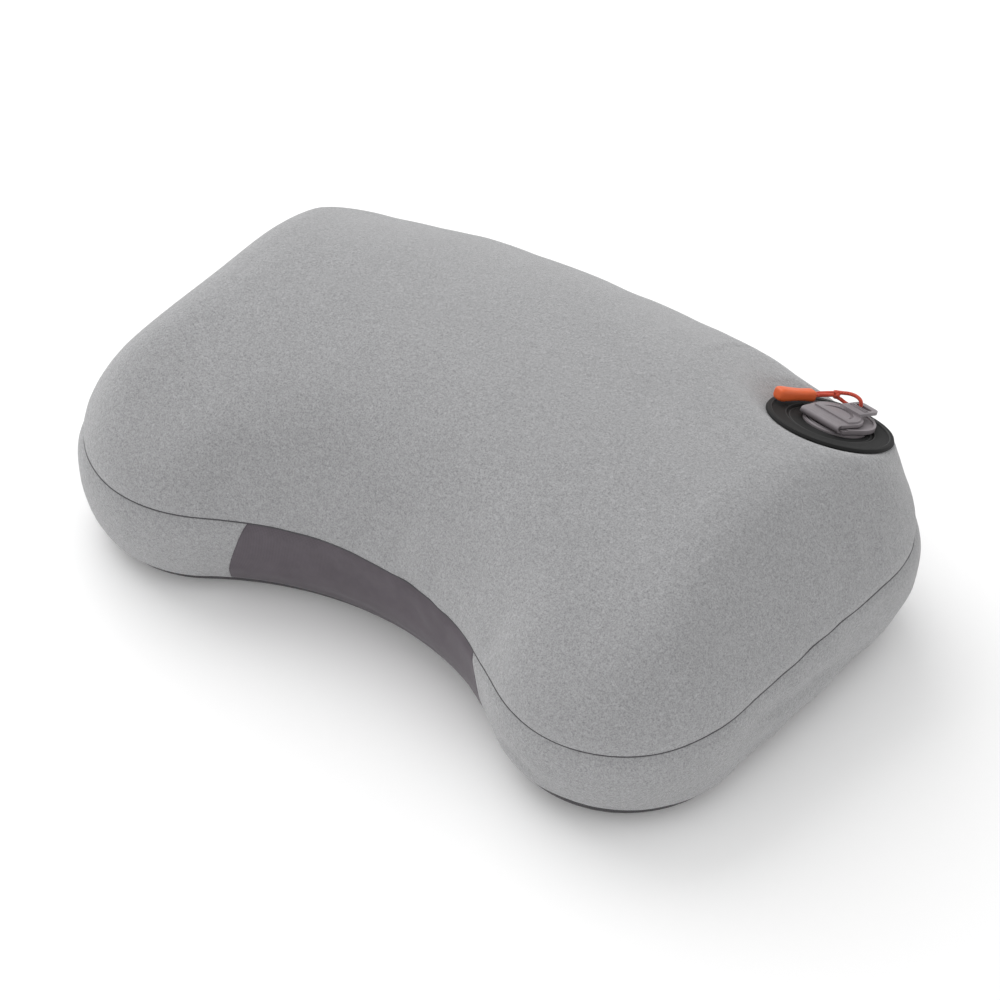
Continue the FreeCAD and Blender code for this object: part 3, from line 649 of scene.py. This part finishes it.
CREASES = (
    # from, to, depth and half width, in millimetres
    ((199, -60, 44), (206, 20, 34), 2.6, 5.0),
    ((203, -10, 58), (196, 60, 50), 1.6, 4.0),
    ((203, 40, 66), (196, 46, 96), 1.4, 4.5),
    ((30, -98, 56), (44, -110, 44), 1.3, 4.0),
    ((-150, -128, 30), (-110, -122, 26), 1.6, 5.0),
    ((100, -136, 30), (150, -128, 22), 1.8, 5.0),
    ((-203, -30, 40), (-204, 40, 36), 1.6, 5.0),
    ((-40, 137, 56), (-10, 136, 78), 1.6, 5.0),
    ((60, 134, 60), (72, 130, 84), 1.6, 5.0),
    ((-120, 128, 56), (-112, 122, 84), 1.6, 5.0),
)


def crease(form):
    """Presses the soft folds that the cloth takes up near its seams and corners."""
    co = coordinates(form)
    n = normals(form)
    push = np.zeros(len(co))
    for start, end, depth, width in CREASES:
        a, b = np.array(start) * MM, np.array(end) * MM
        way = b - a
        t = np.clip(((co - a) @ way) / (way @ way), 0.0, 1.0)
        off = np.linalg.norm(co - (a + t[:, None] * way), axis=1)
        taper = np.sin(np.pi * np.clip(t, 0.04, 0.96))
        fold = np.exp(-(off / (width * MM)) ** 2) - 0.45 * np.exp(-((off / MM - width * 1.9) / width) ** 2)
        push += depth * MM * fold * taper
    move_to(form, co - n * push[:, None])


def split(obj, place, normal, clear_below=False, clear_above=False):
    """Cuts all the way through along a plane, and may clear one side."""
    edited(obj, ("bisect", {"plane_co": place, "plane_no": normal, "clear_inner": clear_below,
                            "clear_outer": clear_above, "threshold": 1e-6}))


def warp(obj, sign, level):
    """Flattens a seam's level to a plane for cutting, and back again."""
    co = coordinates(obj)
    co[:, 2] -= sign * level(co)
    move_to(obj, co)


def foot_height(co):
    p = sizes()
    lobe = 0.0040 * np.exp(-(((co[:, 0] - 0.125) / 0.045) ** 2 + ((co[:, 1] + 0.125) / 0.05) ** 2))
    return p.foot_seam + np.tan(p.lean * p.foot_seam) * co[:, 1] + lobe


# A seam's half gap and groove, the panel's side gap, and the holes round the valve, in metres.
HALF_SEAM = 0.00028
GROOVE_DEPTH = 0.0011
GROOVE_WIDTH = 0.0026
SIDE_GAP = 0.00008
CLOTH_HOLE = 0.0245
FILM_HOLE = 0.0183

# The baffles draw in to stay inside the film.
BAFFLE_CENTRE = np.array((0.0, 0.0, 0.060))
BAFFLE_SHRINK = (0.97, 0.97, 0.93)


def cut_level(obj, level, keep_above):
    """Cuts a panel at a seam, with extra rows of edges beside it for the cloth to be pulled in to the seam."""
    warp(obj, 1, level)
    side = 1 if keep_above else -1
    split(obj, (0, 0, side * HALF_SEAM), (0, 0, 1), clear_below=keep_above, clear_above=not keep_above)
    for row in (0.0006, 0.0014, 0.0026, 0.0044):
        split(obj, (0, 0, side * (HALF_SEAM + row)), (0, 0, 1))
    warp(obj, -1, level)


def pull_in(obj, level):
    """Rolls the cloth inwards beside a seam."""
    co = coordinates(obj)
    n = normals(obj)
    off = np.abs(co[:, 2] - level(co))
    flat = n * (1.0, 1.0, 0.25)
    flat /= np.maximum(np.linalg.norm(flat, axis=1, keepdims=True), 1e-9)
    depth = GROOVE_DEPTH * np.exp(-(off / GROOVE_WIDTH) ** 2)
    move_to(obj, co - flat * depth[:, None])


def spread_normals(obj):
    """The ways out, evened over the neighbouring points."""
    n = normals(obj)
    even = np.stack([spread(obj, n[:, axis], NORMAL_ROUNDS) for axis in range(3)], axis=1)
    return even / np.linalg.norm(even, axis=1, keepdims=True)


def thickness(obj, thick):
    """Gives the cloth its thickness inwards, with its cut edges closed."""
    wall = obj.modifiers.new("Cloth", "SOLIDIFY")
    wall.thickness = thick
    wall.offset = -1.0
    wall.use_rim = True
    apply_modifiers(obj)


def cut_valve_hole(obj, radius=CLOTH_HOLE, reach=0.010):
    """Opens a panel under the valve."""
    v = in_valve(coordinates(obj))
    hole = (np.hypot(v[:, 0], v[:, 1]) < radius) & (np.abs(v[:, 2]) < reach)
    bm = bmesh.new()
    bm.from_mesh(obj.data)
    bm.verts.ensure_lookup_table()
    bmesh.ops.delete(bm, geom=[bm.verts[i] for i in np.flatnonzero(hole)], context="VERTS")
    bm.to_mesh(obj.data)
    bm.free()


def wedge_planes():
    """Planes at the two short edges of the neck panel."""
    p = sizes()
    slope = (p.panel_half_foot - p.panel_half_top) / (p.seam_height - p.foot_seam)
    for side in (-1, 1):
        yield side, (side * p.panel_half_top, 0.0, p.seam_height), Vector((side, 0.0, slope)).normalized()


def neck_panel_from(band):
    """Takes the neck panel out of the band, and leaves the band with a gap for it."""
    front = duplicate(band, "neck_panel_cloth")
    for side, place, normal in wedge_planes():
        split(front, place, normal, clear_above=True)
    split(front, (0, -0.02, 0), (0, 1, 0), clear_above=True)
    ends = []
    for side, place, normal in wedge_planes():
        end = duplicate(band, "band_end_%d" % (side + 1))
        split(end, Vector(place) + normal * SIDE_GAP, normal, clear_below=True)
        ends.append(end)
    middle = duplicate(band, "band_back")
    split(middle, (0, -0.02, 0), (0, 1, 0), clear_below=True)
    for side, place, normal in wedge_planes():
        split(middle, Vector(place) + normal * SIDE_GAP, normal, clear_above=True)
    only(band)
    bpy.ops.object.delete()
    only(ends[0])
    for other in (ends[1], middle):
        other.select_set(True)
    bpy.ops.object.join()
    whole = named(bpy.context.object, "side_band_cloth")
    return edited(whole, ("remove_doubles", {"threshold": 2e-6})), front


def seam_cord(form, level, name, depth, radius):
    """The bound seam allowance: a flat roll that lies in the groove between two panels."""
    line = duplicate(form, name)
    warp(line, 1, level)
    split(line, (0, 0, -0.0002), (0, 0, 1), clear_below=True)
    split(line, (0, 0, 0.0002), (0, 0, 1), clear_above=True)
    warp(line, -1, level)
    mesh = line.data
    bm = bmesh.new()
    bm.from_mesh(mesh)
    lower = [e for e in bm.edges if e.is_boundary]
    co = np.array([v.co for v in bm.verts])
    height = co[:, 2] - level(co)
    keep = {e for e in lower if height[e.verts[0].index] < 0 and height[e.verts[1].index] < 0}
    start = next(iter(keep)).verts[0]
    loop, edge, at = [], None, start
    while True:
        loop.append(at.co.copy())
        following = next((e for e in at.link_edges if e in keep and e is not edge), None)
        if following is None:
            break
        edge, at = following, following.other_vert(at)
        if at is start:
            break
    bm.free()
    bpy.data.objects.remove(line)
    points = np.array(loop)
    for _ in range(6):
        points = (np.roll(points, 1, axis=0) + points * 2 + np.roll(points, -1, axis=0)) / 4
    tangent = np.roll(points, -1, axis=0) - np.roll(points, 1, axis=0)
    tangent /= np.maximum(np.linalg.norm(tangent, axis=1, keepdims=True), 1e-9)
    outward = np.stack((tangent[:, 1], -tangent[:, 0], tangent[:, 0] * 0), axis=1)
    area = np.sum(points[:, 0] * np.roll(points[:, 1], -1) - np.roll(points[:, 0], -1) * points[:, 1])
    outward *= 1.0 if area > 0 else -1.0
    section = [(math.cos(a), math.sin(a)) for a in np.arange(8) * math.pi / 4]
    rows = []
    for c, s in section:
        rows.append(points + outward * (-depth + radius * 1.6 * c) + np.array((0, 0, 1.0)) * radius * s)
    count = len(points)
    verts = np.concatenate(rows)
    faces = [(r * count + i, ((r + 1) % 8) * count + i, ((r + 1) % 8) * count + (i + 1) % count,
              r * count + (i + 1) % count) for r in range(8) for i in range(count)]
    made = bpy.data.meshes.new(name)
    made.from_pydata(verts.tolist(), [], faces)
    obj = added(name, made)
    edited(obj, FACE_OUT)
    smooth(obj)
    return obj


# ---------------------------------------------------------------- valve and pull

def round_edges(obj, width, segments=2, angle=30.0):
    """Asks for the sharp edges to be rounded."""
    edge = obj.modifiers.new("Rounded edges", "BEVEL")
    edge.width = width
    edge.segments = segments
    edge.limit_method = "ANGLE"
    edge.angle_limit = math.radians(angle)


def softened(node, name, round_by, angle=28.0, segments=2):
    """A copy of a frame node with its facets merged and its edges rounded as a mould rounds them."""
    piece = edited(duplicate(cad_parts[node], name), ("remove_doubles", {"threshold": 2e-6}),
                   ("dissolve_limited", {"angle_limit": math.radians(0.6)}))
    round_edges(piece, round_by, segments, angle)
    apply_modifiers(piece)
    smooth(piece, 35.0)
    return piece


def folded_strap(name, path, half, half_far, thick):
    """A strap of soft plastic along a bent path of (y, z) points, as wide as its two ends."""
    count = len(path)
    mesh = bpy.data.meshes.new(name)
    verts = []
    across = np.linspace(-1.0, 1.0, 15)
    for i, (y, z) in enumerate(path):
        reach = half + (half_far - half) * i / (count - 1)
        verts += [local(share * reach, y, z) for share in across]
    wide = len(across)
    faces = [(i * wide + j, i * wide + j + 1, (i + 1) * wide + j + 1, (i + 1) * wide + j)
             for i in range(count - 1) for j in range(wide - 1)]
    mesh.from_pydata(verts, [], faces)
    obj = added(name, mesh)
    wall = obj.modifiers.new("Thickness", "SOLIDIFY")
    wall.thickness = thick
    wall.offset = 0.0
    round_edges(obj, thick * 0.25)
    apply_modifiers(obj)
    edited(obj, FACE_OUT)
    smooth(obj, 40.0)
    return obj


def bend(y, z, radius, leg, side, steps=12):
    """Path of a strap that folds back on itself: a leg, a half turn, a leg."""
    turns = [-math.pi / 2 + math.pi * i / steps for i in range(steps + 1)]
    path = [(y - side * leg, z - radius), (y - side * leg * 0.5, z - radius)]
    path += [(y + side * radius * math.cos(a), z + radius * math.sin(a)) for a in turns]
    return path + [(y - side * leg * 0.5, z + radius), (y - side * leg, z + radius)]


def cord_curve(name, points, diameter):
    """A cord as one smooth spline through the valve's frame."""
    curve = bpy.data.curves.new(name, "CURVE")
    curve.dimensions = "3D"
    spline = curve.splines.new("NURBS")
    spline.points.add(len(points) - 1)
    for point, place in zip(spline.points, points):
        point.co = (*local(*place), 1.0)
    spline.order_u = 3
    spline.use_endpoint_u = True
    spline.resolution_u = 12
    curve.bevel_depth = diameter / 2
    curve.bevel_resolution = 5
    curve.use_fill_caps = True
    return added(name, curve)


def meshed(obj):
    only(obj)
    bpy.ops.object.convert(target="MESH")
    return bpy.context.object


def knot_piece():
    """An overhand knot in the cord, pulled tight."""
    curve = bpy.data.curves.new("knot", "CURVE")
    curve.dimensions = "3D"
    spline = curve.splines.new("NURBS")
    count = 36
    spline.points.add(count - 1)
    for i, point in enumerate(spline.points):
        t = 2 * math.pi * i / count
        x = math.sin(t) + 2 * math.sin(2 * t)
        y = math.cos(t) - 2 * math.cos(2 * t)
        z = -math.sin(3 * t)
        point.co = (*local(KNOT[0] + 0.52 * x, KNOT[1] + 0.50 * z * 1.5, KNOT[2] + 0.52 * y), 1.0)
    spline.order_u = 4
    spline.use_cyclic_u = True
    curve.bevel_depth = sizes().cord * 0.46
    curve.bevel_resolution = 4
    return named(meshed(added("knot", curve)), "knot")


# share along the grip, half width and half height in millimetres
GRIP_ROWS = ((0.0, 2.7, 2.4), (0.02, 3.3, 2.9), (0.10, 3.4, 3.0), (0.25, 3.2, 2.8), (0.45, 3.2, 2.8),
             (0.62, 3.5, 3.0), (0.78, 3.8, 3.3), (0.88, 3.9, 3.5), (0.95, 3.7, 3.3),
             (0.985, 3.1, 2.8), (1.0, 2.2, 2.0))


def grip_piece():
    """The moulded grip, from a plain cylinder drawn out and waisted row by row."""
    deselect()
    way = Vector(GRIP_END) - Vector(GRIP_MOUTH)
    length = way.length * MM
    bpy.ops.mesh.primitive_cylinder_add(vertices=32, radius=1.0, depth=1.0, end_fill_type="NGON")
    grip = named(bpy.context.object, "grip")
    edited(grip, *(("bisect", {"plane_co": (0, 0, row[0] - 0.5), "plane_no": (0, 0, 1)})
                   for row in GRIP_ROWS[1:-1]))
    co = coordinates(grip)
    share = co[:, 2] + 0.5
    wide = np.interp(share, [row[0] for row in GRIP_ROWS], [row[1] for row in GRIP_ROWS])
    tall = np.interp(share, [row[0] for row in GRIP_ROWS], [row[2] for row in GRIP_ROWS])
    angle = np.arctan2(co[:, 1], co[:, 0])
    c, s = np.cos(angle), np.sin(angle)
    square = (np.abs(c) ** 3.6 + np.abs(s) ** 3.6) ** (-1 / 3.6)
    points = np.stack((c * square * wide * MM, s * square * tall * MM, share * length), axis=1)
    axis = (VALVE_TURN @ way).normalized()
    up = VALVE_TURN @ Vector((0.0, 0.0, 1.0))
    sideways = up.cross(axis).normalized()
    up = axis.cross(sideways)
    base = Matrix((sideways, up, axis)).transposed()
    move_to(grip, points @ np.array(base).T + np.array(local(*GRIP_MOUTH)))
    round_edges(grip, 0.0005, angle=45.0)
    refined(grip)
    edited(grip, FACE_OUT)
    smooth(grip)
    return grip


# ---------------------------------------------------------------- sizes and colours

class CampPillowSizes(bpy.types.PropertyGroup):
    """Sizes and colours of the pillow."""
    width: FloatProperty(name="Width", description="Across both ends", default=0.410, unit="LENGTH")
    depth: FloatProperty(name="Depth", description="From the front lobes to the back", default=0.276,
                         unit="LENGTH")
    neck_depth: FloatProperty(name="Neck depth", description="How far the neck runs in", default=0.042,
                              unit="LENGTH")
    back_radius: FloatProperty(name="Back radius", description="Of the long back edge", default=0.744,
                               unit="LENGTH")
    end_radius: FloatProperty(name="End radius", description="Of the slack ends", default=1.633,
                              unit="LENGTH")
    corner_radius: FloatProperty(name="Corner radius", description="Of the back corners", default=0.066,
                                 unit="LENGTH")
    corner_x: FloatProperty(name="Corner place", description="Centre of a back corner", default=0.140,
                            unit="LENGTH")
    lobe_radius: FloatProperty(name="Lobe radius", description="Of the front lobes", default=0.070,
                               unit="LENGTH")
    girth_height: FloatProperty(name="Girth height", description="Of the widest girth", default=0.050,
                                unit="LENGTH")
    edge_top: FloatProperty(name="Edge top", description="Where the rolled edge would end", default=0.130,
                            unit="LENGTH")
    top_inset: FloatProperty(name="Top inset", description="Reach of the rolled edge", default=0.057,
                             unit="LENGTH")
    top_curve: FloatProperty(name="Top curve", description="Shape of the rolled edge", default=1.45)
    foot_inset: FloatProperty(name="Foot inset", description="Reach of the roll below", default=0.024,
                              unit="LENGTH")
    foot_curve: FloatProperty(name="Foot curve", description="Shape of the roll below", default=2.2)
    neck_undercut: FloatProperty(name="Neck undercut", description="At the foot of the neck", default=0.004,
                                 unit="LENGTH")
    lean: FloatProperty(name="Lean", description="Radians that a level leans for each metre of height",
                        default=0.64)
    crown: FloatProperty(name="Crown", description="Height of the domed top", default=0.125, unit="LENGTH")
    crown_radius: FloatProperty(name="Crown radius", description="Of the dome across the pillow",
                                default=0.200,
                                unit="LENGTH")
    crown_y: FloatProperty(name="Crown line", description="Behind the middle", default=0.005, unit="LENGTH")
    seam_height: FloatProperty(name="Seam height", description="Under the top panel", default=0.060,
                               unit="LENGTH")
    foot_seam: FloatProperty(name="Foot seam", description="Above the base panel", default=0.008,
                             unit="LENGTH")
    panel_half_top: FloatProperty(name="Neck panel, top", description="Half length", default=0.072,
                                  unit="LENGTH")
    panel_half_foot: FloatProperty(name="Neck panel, foot", description="Half length", default=0.088,
                                   unit="LENGTH")
    cloth: FloatProperty(name="Cloth", description="Thickness of the shell's cloth", default=0.0014,
                         unit="LENGTH")
    voxel: FloatProperty(name="Voxel", description="Grain of the simulated cloth", default=0.0045,
                         unit="LENGTH")
    pressure: FloatProperty(name="Pressure", description="Air in the simulated pillow", default=4.0)
    swell: FloatProperty(name="Swell", description="Furthest that a fold stands out", default=0.0018,
                         unit="LENGTH")
    slack: FloatProperty(name="Slack", description="Share of the folds that stays away from the seams",
                         default=0.10)
    sink: FloatProperty(name="Sink", description="Furthest that a fold sinks in", default=0.0022,
                        unit="LENGTH")
    seam_pull: FloatProperty(name="Seam pull", description="Share that the seam draws the cloth up",
                             default=0.03)
    film: FloatProperty(name="Film", description="Thickness of the bladder's film", default=0.0006,
                        unit="LENGTH")
    film_gap: FloatProperty(name="Film gap", description="From the cloth to the bladder", default=0.004,
                            unit="LENGTH")
    weld_height: FloatProperty(name="Weld", description="Height of the bladder's weld", default=0.042,
                               unit="LENGTH")
    cord: FloatProperty(name="Cord", description="Diameter of the pull's cord", default=0.002,
                        unit="LENGTH")
    fleece_colour: FloatVectorProperty(name="Fleece", description="Brushed top and band", subtype="COLOR",
                                       default=(0.366, 0.366, 0.374))
    panel_colour: FloatVectorProperty(name="Neck panel", description="Woven panel", subtype="COLOR",
                                      default=(0.096, 0.082, 0.095))
    base_colour: FloatVectorProperty(name="Base", description="Woven base", subtype="COLOR",
                                     default=(0.045, 0.042, 0.046))
    binding_colour: FloatVectorProperty(name="Seam", description="Bound seams", subtype="COLOR",
                                        default=(0.075, 0.073, 0.078))
    disc_colour: FloatVectorProperty(name="Disc", description="Soft disc round the valve", subtype="COLOR",
                                     default=(0.017, 0.017, 0.017))
    valve_colour: FloatVectorProperty(name="Valve", description="Seat and flaps", subtype="COLOR",
                                      default=(0.200, 0.178, 0.190))
    cord_colour: FloatVectorProperty(name="Cord", description="Pull's cord", subtype="COLOR",
                                     default=(0.560, 0.062, 0.030))
    grip_colour: FloatVectorProperty(name="Grip", description="Pull's grip", subtype="COLOR",
                                     default=(0.740, 0.125, 0.028))


# ---------------------------------------------------------------- operators

class PillowShell(bpy.types.Operator):
    """Model the fabric shell: top panel, band, neck panel and base"""
    bl_idname = "camp.pillow_shell"
    bl_label = "Fabric Shell"

    def execute(self, context):
        p = sizes()
        form = inflate(pillow_form())
        air = duplicate(form, "bladder_form")
        seat_of_valve(air)
        refined(form)
        crease(form)
        seat_of_valve(form)
        panels = {}
        panels["top"] = duplicate(form, "top_panel_cloth")
        cut_level(panels["top"], seam_height, True)
        band = duplicate(form, "band_whole")
        cut_level(band, seam_height, False)
        cut_level(band, foot_height, True)
        panels["base"] = duplicate(form, "base_panel_cloth")
        cut_level(panels["base"], foot_height, False)
        for obj in (panels["top"], band):
            pull_in(obj, seam_height)
        for obj in (panels["base"], band):
            pull_in(obj, foot_height)
        cut_valve_hole(panels["top"])
        panels["band"], panels["neck"] = neck_panel_from(band)
        for key, finish, slot_name, node in (("top", "fleece", "brushed_cloth", "top_panel"),
                                             ("band", "fleece", "brushed_cloth", "side_band"),
                                             ("neck", "panel", "woven_cloth", "neck_panel"),
                                             ("base", "base", "woven_cloth", "base_panel")):
            obj = panels[key]
            thickness(obj, p.cloth)
            smooth(obj)
            finished(obj, finish, slot_name, "pillow", node)
        for level, name, node in ((seam_height, "top_seam", "top_seam_binding"),
                                  (foot_height, "foot_seam", "foot_seam_binding")):
            seam = seam_cord(form, level, name, GROOVE_DEPTH + 0.0007, 0.0006)
            finished(seam, "binding", "binding", "pillow", node)
        bpy.data.objects.remove(form)
        return {"FINISHED"}


class PillowBladder(bpy.types.Operator):
    """Finish the welded bladder and its baffles"""
    bl_idname = "camp.pillow_bladder"
    bl_label = "Bladder and Baffles"

    def execute(self, context):
        p = sizes()
        air = bpy.data.objects["bladder_form"]
        inward = spread_normals(air)
        move_to(air, coordinates(air) - inward * p.film_gap)
        for name, node, above in (("bladder_top", "bladder_top_film", True),
                                  ("bladder_foot", "bladder_base_film", False)):
            film = duplicate(air, name)
            split(film, (0, 0, p.weld_height), (0, 0, 1), clear_below=above, clear_above=not above)
            if above:
                cut_valve_hole(film, FILM_HOLE, 0.016)
            thickness(film, p.film)
            smooth(film)
            finished(film, "film", "film", "pillow", node)
        bpy.data.objects.remove(air)
        painted(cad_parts["weld_flange"], "film")
        for number in range(1, 5):
            node = "baffle_%d" % number
            wall = duplicate(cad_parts[node], "air_wall_%d" % number)
            co = slump(coordinates(wall))
            move_to(wall, BAFFLE_CENTRE + (co - BAFFLE_CENTRE) * BAFFLE_SHRINK)
            finished(wall, "baffle", "film", "pillow", node)
        return {"FINISHED"}


class PillowValve(bpy.types.Operator):
    """Model the disc, the seat, both flaps and their straps"""
    bl_idname = "camp.pillow_valve"
    bl_label = "Flap Valve"

    def execute(self, context):
        disc = softened("valve_surround", "valve_disc", 0.00030)
        finished(disc, "disc", "black_tpu", "pillow", "valve_surround")
        seat = softened("valve_seat", "valve_collar", 0.00012)
        finished(seat, "flap", "grey_tpu", "pillow", "valve_seat")
        flap = softened("deflate_flap", "lower_flap", 0.00030, segments=3)
        finished(flap, "flap", "grey_tpu", "deflate_flap", "deflate_flap")
        cap = softened("inflate_cap", "upper_flap", 0.00030, segments=3)
        finished(cap, "flap", "grey_tpu", "inflate_cap", "inflate_cap")
        painted(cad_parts["check_membrane"], "membrane")
        fold = folded_strap("cap_fold", bend(-8.6, 3.0, 1.60, 0.9, -1), 13.2, 12.4, 0.0008)
        finished(fold, "flap", "grey_tpu", None, "cap_strap")
        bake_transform(fold)
        tie = folded_strap("flap_tie", bend(28.4, 0.95, 0.62, 2.6, 1), 5.0, 5.0, 0.0005)
        finished(tie, "flap", "grey_tpu", None, "flap_strap")
        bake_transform(tie)
        return {"FINISHED"}


class PillowPull(bpy.types.Operator):
    """Model the cord through the tab, its knot and the grip"""
    bl_idname = "camp.pillow_pull"
    bl_label = "Cord and Grip"

    def execute(self, context):
        p = sizes()
        loop = cord_curve("pull_loop", LOOP, p.cord)
        finished(loop, "cord", "cord", "inflate_cap", "loop_cord")
        knot = knot_piece()
        smooth(knot)
        finished(knot, "cord", "cord", "inflate_cap", "cord_knot")
        strands = [meshed(cord_curve("strand_%d" % i, points, p.cord)) for i, points in enumerate(STRANDS)]
        only(strands[0])
        strands[1].select_set(True)
        bpy.ops.object.join()
        ends = named(bpy.context.object, "pull_strands")
        smooth(ends)
        finished(ends, "cord", "cord", "pull", "grip_cord")
        grip = grip_piece()
        finished(grip, "grip", "grip", "pull", "pull_grip")
        return {"FINISHED"}


class PillowStage(bpy.types.Operator):
    """Set the camera, the soft lights and the pale floor"""
    bl_idname = "camp.pillow_stage"
    bl_label = "Stage"

    def execute(self, context):
        scene = context.scene
        scene.view_settings.view_transform = "Standard"
        lens = bpy.data.cameras.new("View")
        lens.lens = 152.136
        lens.sensor_width = 36.0
        lens.clip_end = 20.0
        camera = bpy.data.objects.new("View", lens)
        scene.collection.objects.link(camera)
        target = Vector((0.0109, -0.0118, 0.050))
        azimuth, elevation, distance = math.radians(38.67), math.radians(41.25), 2.1524
        out = Vector((math.sin(azimuth) * math.cos(elevation), -math.cos(azimuth) * math.cos(elevation),
                      math.sin(elevation)))
        camera.location = target + out * distance
        camera.rotation_euler = (-out).to_track_quat("-Z", "Y").to_euler()
        scene.camera = camera
        deselect()
        bpy.ops.mesh.primitive_plane_add(size=8.0, location=(0.0, 0.0, -0.0005))
        floor = named(bpy.context.object, "floor")
        shader = Shader("Pale floor", (0.94, 0.94, 0.94), 0.9, specular_ior_level=0.1,
                        emission_strength=0.085)
        shader.set("Emission Color", (1.0, 1.0, 1.0))
        floor.data.materials.append(shader.material)
        world = scene.world or bpy.data.worlds.new("World")
        scene.world = world
        world.use_nodes = True
        sky = world.node_tree.nodes["Background"]
        sky.inputs["Color"].default_value = (1.0, 1.0, 1.0, 1.0)
        sky.inputs["Strength"].default_value = 0.77
        for name, place, size, power in (("Key", (-1.8, 0.7, 1.7), 2.6, 45.0),
                                         ("Fill", (0.9, -1.6, 0.2), 1.0, 3.5)):
            light = bpy.data.lights.new(name, "AREA")
            light.energy = power
            light.size = size
            lamp = bpy.data.objects.new(name, light)
            lamp.location = place
            lamp.rotation_euler = (-Vector(place)).to_track_quat("-Z", "Y").to_euler()
            scene.collection.objects.link(lamp)
        return {"FINISHED"}


class CampPillowPanel(bpy.types.Panel):
    """Lists the pillow's pieces in the sidebar."""
    bl_idname = "VIEW3D_PT_camp_pillow"
    bl_label = "Camp Pillow"
    bl_space_type = "VIEW_3D"
    bl_region_type = "UI"
    bl_category = "Pillow"

    def draw(self, context):
        for step_class in STEPS:
            self.layout.operator(step_class.bl_idname)


STEPS = (PillowStage, PillowPull, PillowShell, PillowBladder, PillowValve)
CLASSES = (CampPillowSizes, *STEPS, CampPillowPanel)


def register():
    for item in CLASSES:
        bpy.utils.register_class(item)
    bpy.types.Scene.camp_pillow = PointerProperty(type=CampPillowSizes)


def unregister():
    del bpy.types.Scene.camp_pillow
    for item in reversed(CLASSES):
        bpy.utils.unregister_class(item)


def main():
    register()
    for step_class in STEPS:
        group, name = step_class.bl_idname.split(".")
        getattr(getattr(bpy.ops, group), name)()


if __name__ == "__main__":
    main()
